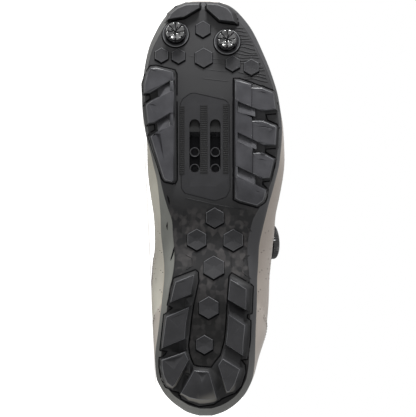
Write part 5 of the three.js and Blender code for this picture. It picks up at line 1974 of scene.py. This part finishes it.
    def sew(self, form: Form, places: Sequence[tuple[float, float]], lift: float = 0.05) -> None:
        """Sews along a line of the upper.

        Args:
            form: What takes the stitches.
            places: Column and share of every point of the line.
            lift: How far the thread stands off the surface.
        """
        points, normals = (np.array(rows) for rows in zip(*(self.point(*at) for at in places)))
        at, half = lengths_along(points), self.stitch_length / 2
        for where in np.arange(self.stitch_pitch / 2, at[-1], self.stitch_pitch):
            start, end = (sampled(points, at, where + d) for d in (-half, half))
            out = sampled(normals, at, where)
            size = np.linalg.norm(end - start)
            if size < half:
                continue
            out /= np.linalg.norm(out)
            middle = (start + end) / 2 + out * lift
            form.bead(middle, (end - start) / size, out, self.stitch_length, self.stitch_width)

    def sew_openings(self, form: Form) -> None:
        """Sews two rows round the opening, and one along the facing."""
        path = self.opening()
        for inset in (3.2, 5.4):
            self.sew(form, [(i, 1 - inset / self.lengths[i]) for i in path])
        start = self.shape.throat_start * self.shape.length
        throat = [i for i in path if self.skin[i, -1, 0] > start]
        for side in (range(len(self.skin) // 2), range(len(self.skin) // 2, len(self.skin))):
            line = [(i, 1 - (self.facing - 1.4) / self.lengths[i]) for i in throat if i in side]
            self.sew(form, line)

    def column_of(self, along: float, side: Side) -> float:
        """The column's number at a place along the shoe."""
        stations = self.shape.stations(self.count)
        found = float(np.interp(along, stations, np.arange(self.count)))
        return found if side is Side.MEDIAL else 2 * self.count - 1 - found

    def sew_lines(self, form: Form) -> None:
        """Sews the edges of the toe cap and of the heel cup, two rows each."""
        for side in Side:
            for inset in (1.6, 3.6):
                shift = inset / self.shape.length
                shares = np.linspace(0.03, 1.0, 40)
                toe = [(self.column_of(float(self.toe_line(t)) + shift, side), t) for t in shares]
                self.sew(form, toe)
                shares = np.linspace(0.22, 0.9, 36)
                heel = [(self.column_of(float(self.heel_line(t)) - shift, side), t) for t in shares]
                self.sew(form, heel)

    def prick(self, form: Form) -> None:
        """Pricks the staggered pinholes of both sides, and the rows by the sole."""
        for side in Side:
            for row, share in enumerate(np.arange(0.26, 0.78, 0.055)):
                for along in np.arange(0.33 + 0.012 * (row % 2), 0.775, 0.024):
                    column = self.column_of(float(along), side)
                    down = (1 - share) * self.lengths[int(column) % len(self.lengths)]
                    if down < self.facing + 4 or along > self.toe_line(share) - 0.02:
                        continue
                    self.hole(form, column, share)
            for along in np.arange(0.24, 0.44, 0.047):
                for share in (0.10, 0.14):
                    self.hole(form, self.column_of(float(along + share * 0.12), side), share)

    def hole(self, form: Form, column: float, share: float) -> None:
        """Adds one short dark pinhole."""
        centre, out = self.point(column, share)
        ahead, _ = self.point(column, share + 0.01)
        run = ahead - centre
        run -= out * (run @ out)
        run /= max(np.linalg.norm(run), 1e-6)
        form.bead(centre - out * 0.12, run, out, self.hole_length, self.hole_width)


@dataclass
class Tongue(Assembly):
    """The padded tongue, with three soft channels across it and a bound edge."""
    depth: float = 2.75
    thickness: float = 4.0
    margin: float = 9.0
    top: float = 122.0
    corner: float = 12.0
    front: float = 184.8
    columns: int = 36
    rows: int = 72

    CHANNELS = (134.0, 148.0, 162.0)

    def half(self, x: Any) -> np.ndarray:
        """Half the tongue's width."""
        along = np.asarray(x, float) / self.shape.length
        return self.shape.throat_width * THROAT["half"](along) + self.margin

    def line(self, share: float) -> tuple[np.ndarray, np.ndarray]:
        """Points and ways out along one length of the tongue, at a share across it."""
        s = self.shape
        x = np.linspace(s.throat_start * s.length, self.front, 400)
        y = s.middle(x / s.length) + share * self.half(x)
        point, out = s.skin(x, y)
        point = point - out * self.depth
        over = np.abs(share) * self.half(x) - (self.half(x) - self.corner)
        drop = self.corner - np.sqrt(np.maximum(self.corner**2 - np.maximum(over, 0) ** 2, 0))
        low = np.nonzero(point[:, 2] <= self.top - drop)[0]
        return point[low[0]:], out[low[0]:]

    def build(self) -> None:
        """Builds the tongue."""
        outer, normals = [], []
        for share in np.linspace(-1, 1, self.columns):
            point, out = self.line(float(share))
            at = lengths_along(point)
            even = np.linspace(0, at[-1], self.rows)
            outer.append(sampled(point, at, even))
            normals.append(sampled(out, at, even))
        outer, normals = np.array(outer), np.array(normals)
        soft = np.zeros(outer.shape[:2])
        for place in self.CHANNELS:
            soft += 0.75 * np.exp(-((outer[..., 0] - place) / 1.6) ** 2)
        edge = np.minimum(np.arange(self.columns), np.arange(self.columns)[::-1])[:, None]
        ends = np.minimum(np.arange(self.rows), np.arange(self.rows)[::-1])[None, :]
        near = np.clip(np.minimum(edge / 3.0, ends / 4.0), 0, 1)
        swell = np.sqrt(1 - (1 - near) ** 2)
        half = self.thickness / 2
        middle = outer - normals * half
        face = middle + normals * (half * swell - soft * swell)[..., None]
        back = middle - normals * (half * swell - 0.6 * soft * swell)[..., None]
        form = Form()
        form.sheet(face, 0)
        form.sheet(back, 1, flip=True)
        rim = np.concatenate([middle[:, 0], middle[-1, 1:], middle[-2::-1, -1], middle[0, -2:0:-1]])
        form.tube(rim, 0.8, 2, 8, closed=True)
        slots = [self.finishes.tongue, self.finishes.lining, self.finishes.binding]
        thing = self.piece(form, "tongue_padded", slots, "lining", "tongue", sharp=60)


@dataclass
class Insole(Assembly):
    """The cloth-faced foam insole, with a shallow heel cup and a raised arch."""
    thickness: float = 4.0
    count: int = 80
    across: int = 22
    cup_length: float = 110.0
    cup_depth: float = 0.54

    def build(self) -> None:
        """Builds the insole."""
        s = self.shape
        base = 2 * s.gap + s.margin_wall
        ring = s.plan(self.count)
        inset = s.lean(ring["x"]) + s.rim_wall + s.gap + s.wall
        rows = []
        for extra, height in ((1.7, 0.0), (1.2, 0.8), (1.15, self.thickness - 0.7),
                              (1.8, self.thickness)):
            x, y = s.shrink(ring["x"], ring["y"], inset + extra)
            rows.append(np.stack([x, y, s.tray_floor(x) + base + height], 1))
        top, bottom = between_sides(rows[-1], self.across), between_sides(rows[0], self.across)
        cup = (2 * np.abs(np.linspace(0, 1, self.across + 1) - 0.5)) ** 3
        rear = np.clip(1 - top[..., 0] / self.cup_length, 0, 1)
        top[..., 2] = s.tray_floor(top[..., 0]) + base + self.thickness
        top[..., 2] += self.cup_depth * (cup - 1) * rear
        bottom[..., 2] = s.tray_floor(bottom[..., 0]) + base
        form = Form()
        form.sheet(rows, 0, round_v=True)
        form.sheet(top, 0, flip=True)
        form.sheet(bottom, 0)
        cloth = [self.finishes.insole]
        thing = self.piece(form, "insole_cloth", cloth, "insole", "insole", sharp=50, weld=0.01)


# The lace


@dataclass
class Lacing(Assembly):
    """The wire lace with its eight guides and the dial that winds it."""
    guide_length: float = 8.5
    guide_width: float = 7.0
    guide_height: float = 3.6
    guide_inset: float = 1.0
    guide_lift: float = 0.65
    wire: float = 0.8
    wire_shift: float = 2.1
    dial_radius: float = 11.8
    dial_height: float = 4.8
    base_radius: float = 13.0
    base_height: float = 1.8
    dial_seat: float = 0.7
    knurls: int = 40

    ROWS = (0.500, 0.545, 0.588, 0.628)
    DIAL = (0.418, 0.526)

    def guide_spot(self, row: int, side: Side) -> Spot:
        """Where a guide stands."""
        s, along = self.shape, self.ROWS[row]
        edge = float(THROAT["half"](along)) * s.throat_width
        reach = edge + self.guide_inset + self.guide_width / 2
        y = float(s.middle(along)) + side.value * reach
        return Spot.on_last(s, along * s.length, y, self.guide_lift)

    def dial_spot(self) -> Spot:
        """Where the dial stands."""
        along, across = self.DIAL
        s = self.shape
        return Spot.on_last(s, along * s.length, across * float(s.width(along)), self.dial_seat)

    def guide(self, row: int, side: Side) -> None:
        """Builds one guide: a rounded hook with a channel for the wire."""
        spot = self.guide_spot(row, side)
        turn = circle(40)
        power = 0.42

        def ring(size: float, height: float) -> np.ndarray:
            """One rounded ring of the guide."""
            u = np.sign(np.cos(turn)) * np.abs(np.cos(turn)) ** power * self.guide_length / 2
            v = np.sign(np.sin(turn)) * np.abs(np.sin(turn)) ** power * self.guide_width / 2
            return spot.at(u * size, v * size, height)

        top = self.guide_height
        rows = [(0.94, 0.0), (1.0, 0.3), (1.0, 0.9), (0.93, 1.15), (0.90, 1.5), (0.93, 1.9)]
        rows += [(0.95, 2.6), (0.90, 3.2), (0.76, 3.5), (0.5, top)]
        form = Form()
        form.stack([ring(size, height) for size, height in rows], 0)
        inward = -side.value * np.sign(spot.sideways[1])
        turns = circle(16)[:, None]
        for shift in (-self.wire_shift, self.wire_shift):
            mouth = spot.at(shift, inward * self.guide_width / 2 * 0.93, top * 0.5)
            ringlet = mouth + 1.15 * (np.cos(turns) * spot.forward + np.sin(turns) * spot.out)
            form.tube(ringlet, 0.3, 0, 6, closed=True)
        name = f"lace_guide_{side.name.lower()}_{row + 1}"
        self.piece(form, f"{name}_hook", [self.finishes.gloss], "gloss_black", name, sharp=45)

    def dial(self) -> None:
        """Builds the dial: a seated base and a knurled knob with a dished face."""
        spot, turn, gloss = self.dial_spot(), circle(160), [self.finishes.gloss]
        base, r, h = Form(), self.base_radius, self.base_height
        rows = [(r - 0.3, 0.0), (r, 0.35), (r, 1.0), (r - 0.5, 1.45), (r - 1.1, h), (4.0, h)]
        base.stack([spot.ring(radius, height, turn) for radius, height in rows])
        for angle in (0.3, math.pi + 0.3):
            u, v = (r - 0.2) * math.cos(angle), (r - 0.2) * math.sin(angle)
            base.stack([
                spot.at(u + size * np.cos(turn[::8]), v + size * np.sin(turn[::8]), height)
                for size, height in ((1.5, 0.1), (1.6, 0.6), (1.3, 1.2), (0.7, 1.4))
            ])
        self.piece(base, "dial_base_ring", gloss, "gloss_black", "dial_base", sharp=40)
        knob, r, h = Form(), self.dial_radius, self.dial_height
        low = self.base_height + self.shape.gap
        tooth = 0.5 + 0.5 * np.cos(self.knurls * turn)
        # Radius, height and how deep the knurls are
        rows = [(r - 0.9, 0.0, 0.0), (r - 0.25, 0.4, 0.5), (r, 1.0, 1.0), (r, 3.3, 1.0)]
        rows += [(r - 0.35, 4.1, 0.6), (r - 1.1, 4.65, 0.1), (r - 2.1, h, 0.0), (r - 2.9, h, 0.0)]
        rows += [(r - 3.3, 4.35, 0.0), (4.6, 4.05, 0.0), (4.2, 4.3, 0.0), (0.4, 4.45, 0.0)]
        knob.stack([spot.ring(radius - 0.55 * teeth * tooth, low + height, turn)
                    for radius, height, teeth in rows])
        self.piece(knob, "dial_knob_knurled", gloss, "gloss_black", "dial_knob", sharp=32)

    def through(self, row: int, side: Side, down: bool) -> list[np.ndarray]:
        """The wire's way through a guide, from the tongue's side in and out again."""
        spot = self.guide_spot(row, side)
        inward = -side.value * float(np.sign(spot.sideways[1]))
        half, height = self.guide_width / 2, self.guide_height * 0.5
        first = -self.wire_shift if down else self.wire_shift
        way = ((first, half + 0.8), (first * 0.9, half * 0.2), (0.0, -half * 0.35),
               (-first * 0.9, half * 0.2), (-first, half + 0.8))
        return [spot.at(u, inward * v, height) for u, v in way]

    def over(self, start: np.ndarray, end: np.ndarray, lift: float) -> list[np.ndarray]:
        """The wire's way over the tongue or the upper between two points."""
        points = []
        for t in np.linspace(0, 1, 9)[1:-1]:
            flat = start + (end - start) * t
            surface, _ = self.shape.skin(flat[0], flat[1])
            height = max(flat[2], float(surface[2]) + lift)
            points.append(np.array([flat[0], flat[1], height]))
        return points

    def lead(self, side: Side) -> list[np.ndarray]:
        """The wire's way from the dial to a top guide."""
        offset = {Side.MEDIAL: (5.5, -5.2), Side.LATERAL: (11.6, -3.9)}[side]
        start = self.dial_spot().point + np.array([offset[0], offset[1], 0.0])
        first = self.through(0, side, down=True)[0]
        points = []
        for t in np.linspace(0.0, 0.97, 16):
            flat = start + (first - start) * t
            surface, out = self.shape.skin(flat[0], flat[1])
            points.append(surface + out * 1.6)
        return points

    def lace(self) -> None:
        """Builds the one wire, from the dial through all the guides and back."""
        order = [(0, Side.MEDIAL), (1, Side.LATERAL), (2, Side.MEDIAL), (3, Side.LATERAL)]
        back = [(row, Side(-side.value)) for row, side in reversed(order)]
        points = self.lead(Side.MEDIAL)
        last = None
        for k, (row, side) in enumerate(order + back):
            way = self.through(row, side, down=k < len(order))
            if k == len(order) - 1:
                way = way[:3] + [way[2] + (way[1] - way[2]) * 0.2]
            if last is not None:
                points += self.over(last, way[0], 0.9 + (1.6 if k < len(order) else 0.0))
            points += way
            last = way[-1]
        points += self.lead(Side.LATERAL)[::-1]
        form = Form()
        form.tube(smooth_path(points, 3), self.wire, 0, 10)
        names = [f"lace_crossing_{i}" for i in (1, 2, 3)] + ["lace_lead_medial", "lace_lead_lateral"]
        self.piece(form, "lace_wire", [self.finishes.wire], "lace", *names, sharp=60)

    def build(self) -> None:
        """Builds the guides, the dial and the wire."""
        for side in Side:
            for row in range(len(self.ROWS)):
                self.guide(row, side)
        self.dial()
        self.lace()


def smooth_path(points: Sequence[np.ndarray], steps: int) -> np.ndarray:
    """A smooth line through points.

    Args:
        points: The points.
        steps: How many pieces each span gets.

    Returns:
        The finer points.
    """
    p = np.array(points)
    p = np.vstack([2 * p[0] - p[1], p, 2 * p[-1] - p[-2]])
    out = []
    for i in range(1, len(p) - 2):
        for t in np.arange(steps) / steps:
            a, b, c, d = p[i - 1], p[i], p[i + 1], p[i + 2]
            out.append(0.5 * (
                2 * b + (c - a) * t + (2 * a - 5 * b + 4 * c - d) * t**2
                + (3 * b - a - 3 * c + d) * t**3
            ))
    out.append(p[-2])
    return np.array(out)


# The studio


@dataclass
class Studio:
    """The pale floor, the soft lights and the camera that looks square on to the sole."""

    place: ShoeFrame
    lens: float = 1000.0
    sensor: float = 36.0
    field_width: float = 280.7
    aim: tuple[float, float, float] = (140.0, 0.7, 6.0)
    world: float = 1.0
    floor_glow: float = 0.6
    floor_half: float = 14.0
    reach: float = 50.0

    def floor(self) -> None:
        """Lays the floor."""
        mesh = bpy.data.meshes.new("floor")
        half = self.floor_half
        corners = [(-half, -half, 0), (half, -half, 0), (half, half, 0), (-half, half, 0)]
        mesh.from_pydata(corners, [], [(0, 1, 2, 3)])
        graph = Graph("floor")
        point = graph.add("ShaderNodeTexCoord", output="Object")
        marks = graph.noise(point, 3.0)
        graph.set(
            Base_Color=graph.blend(marks, linear(0xF4F4F3), linear(0xEFEFEE)), Roughness=0.85,
            Emission_Color=(1.0, 1.0, 1.0, 1.0), Emission_Strength=self.floor_glow,
        )
        mesh.materials.append(graph.material)
        add_object("floor", mesh)

    def light(self, name: str, offset: tuple[float, float, float], size: float,
              watts: float) -> None:
        """Hangs a soft light.

        Args:
            name: The light's name.
            offset: From the aim, along the toe, lateral and down axes, in metres.
            size: Its side in metres.
            watts: Its power.
        """
        data = bpy.data.lights.new(name, "AREA")
        data.shape, data.size, data.energy = "SQUARE", size, watts
        thing = add_object(name, data)
        aim = Vector(self.place.to_row(self.aim))
        toe, lateral, up = (Vector(axis) for axis in self.place.axes)
        where = aim + toe * offset[0] + lateral * offset[1] - up * offset[2]
        thing.matrix_world = Matrix.Translation(where) @ (
            (aim - where).to_track_quat("-Z", "Y").to_matrix().to_4x4()
        )

    def camera(self) -> None:
        """Sets the camera square on to the sole, with the toe up."""
        data = bpy.data.cameras.new("camera")
        data.lens, data.sensor_width, data.sensor_fit = self.lens, self.sensor, "HORIZONTAL"
        data.clip_end = self.reach
        thing = add_object("camera", data)
        toe, lateral, up = (Vector(axis) for axis in self.place.axes)
        distance = self.field_width * MM * self.lens / self.sensor
        turn = Matrix((lateral, toe, -up)).transposed().to_4x4()
        where = Vector(self.place.to_row(self.aim)) - up * distance
        thing.matrix_world = Matrix.Translation(where) @ turn
        bpy.context.scene.camera = thing

    def build(self) -> None:
        """Sets up the floor, the lights, the sky and the camera."""
        self.floor()
        self.light("key", (1.55, 0.12, 0.5), 0.4, 62.0)
        self.light("front", (0.1, 0.3, 2.6), 1.2, 7.0)
        self.light("side", (0.3, 1.7, 0.9), 1.2, 6.0)
        scene = bpy.context.scene
        world = bpy.data.worlds.new("sky")
        world.use_nodes = True
        sky = world.node_tree.nodes["Background"]
        sky.inputs["Color"].default_value = (1.0, 1.0, 1.0, 1.0)
        sky.inputs["Strength"].default_value = self.world
        scene.world = world
        scene.view_settings.view_transform = "Standard"
        self.camera()


def main() -> None:
    """Builds every piece in order."""
    logging.basicConfig(level=logging.INFO, format="%(message)s")
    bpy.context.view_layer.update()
    place = ShoeFrame.from_record(frame["record"])
    shape = Shape()
    finishes = Finishes(place)
    Studio(place).build()
    outsole = Outsole(shape, place, finishes)
    outsole.build()
    log.info("outsole built")
    tread = Tread(shape, place, finishes, outsole)
    tread.build()
    log.info("tread built")
    ToeStuds(shape, place, finishes, outsole).build()
    CleatPlate(shape, place, finishes, outsole, tread).build()
    log.info("studs and cleat plate built")
    Upper(shape, place, finishes).build()
    log.info("upper built")
    Tongue(shape, place, finishes).build()
    Insole(shape, place, finishes).build()
    Lacing(shape, place, finishes).build()
    log.info("tongue, insole and lace built")


if __name__ == "__main__":
    main()
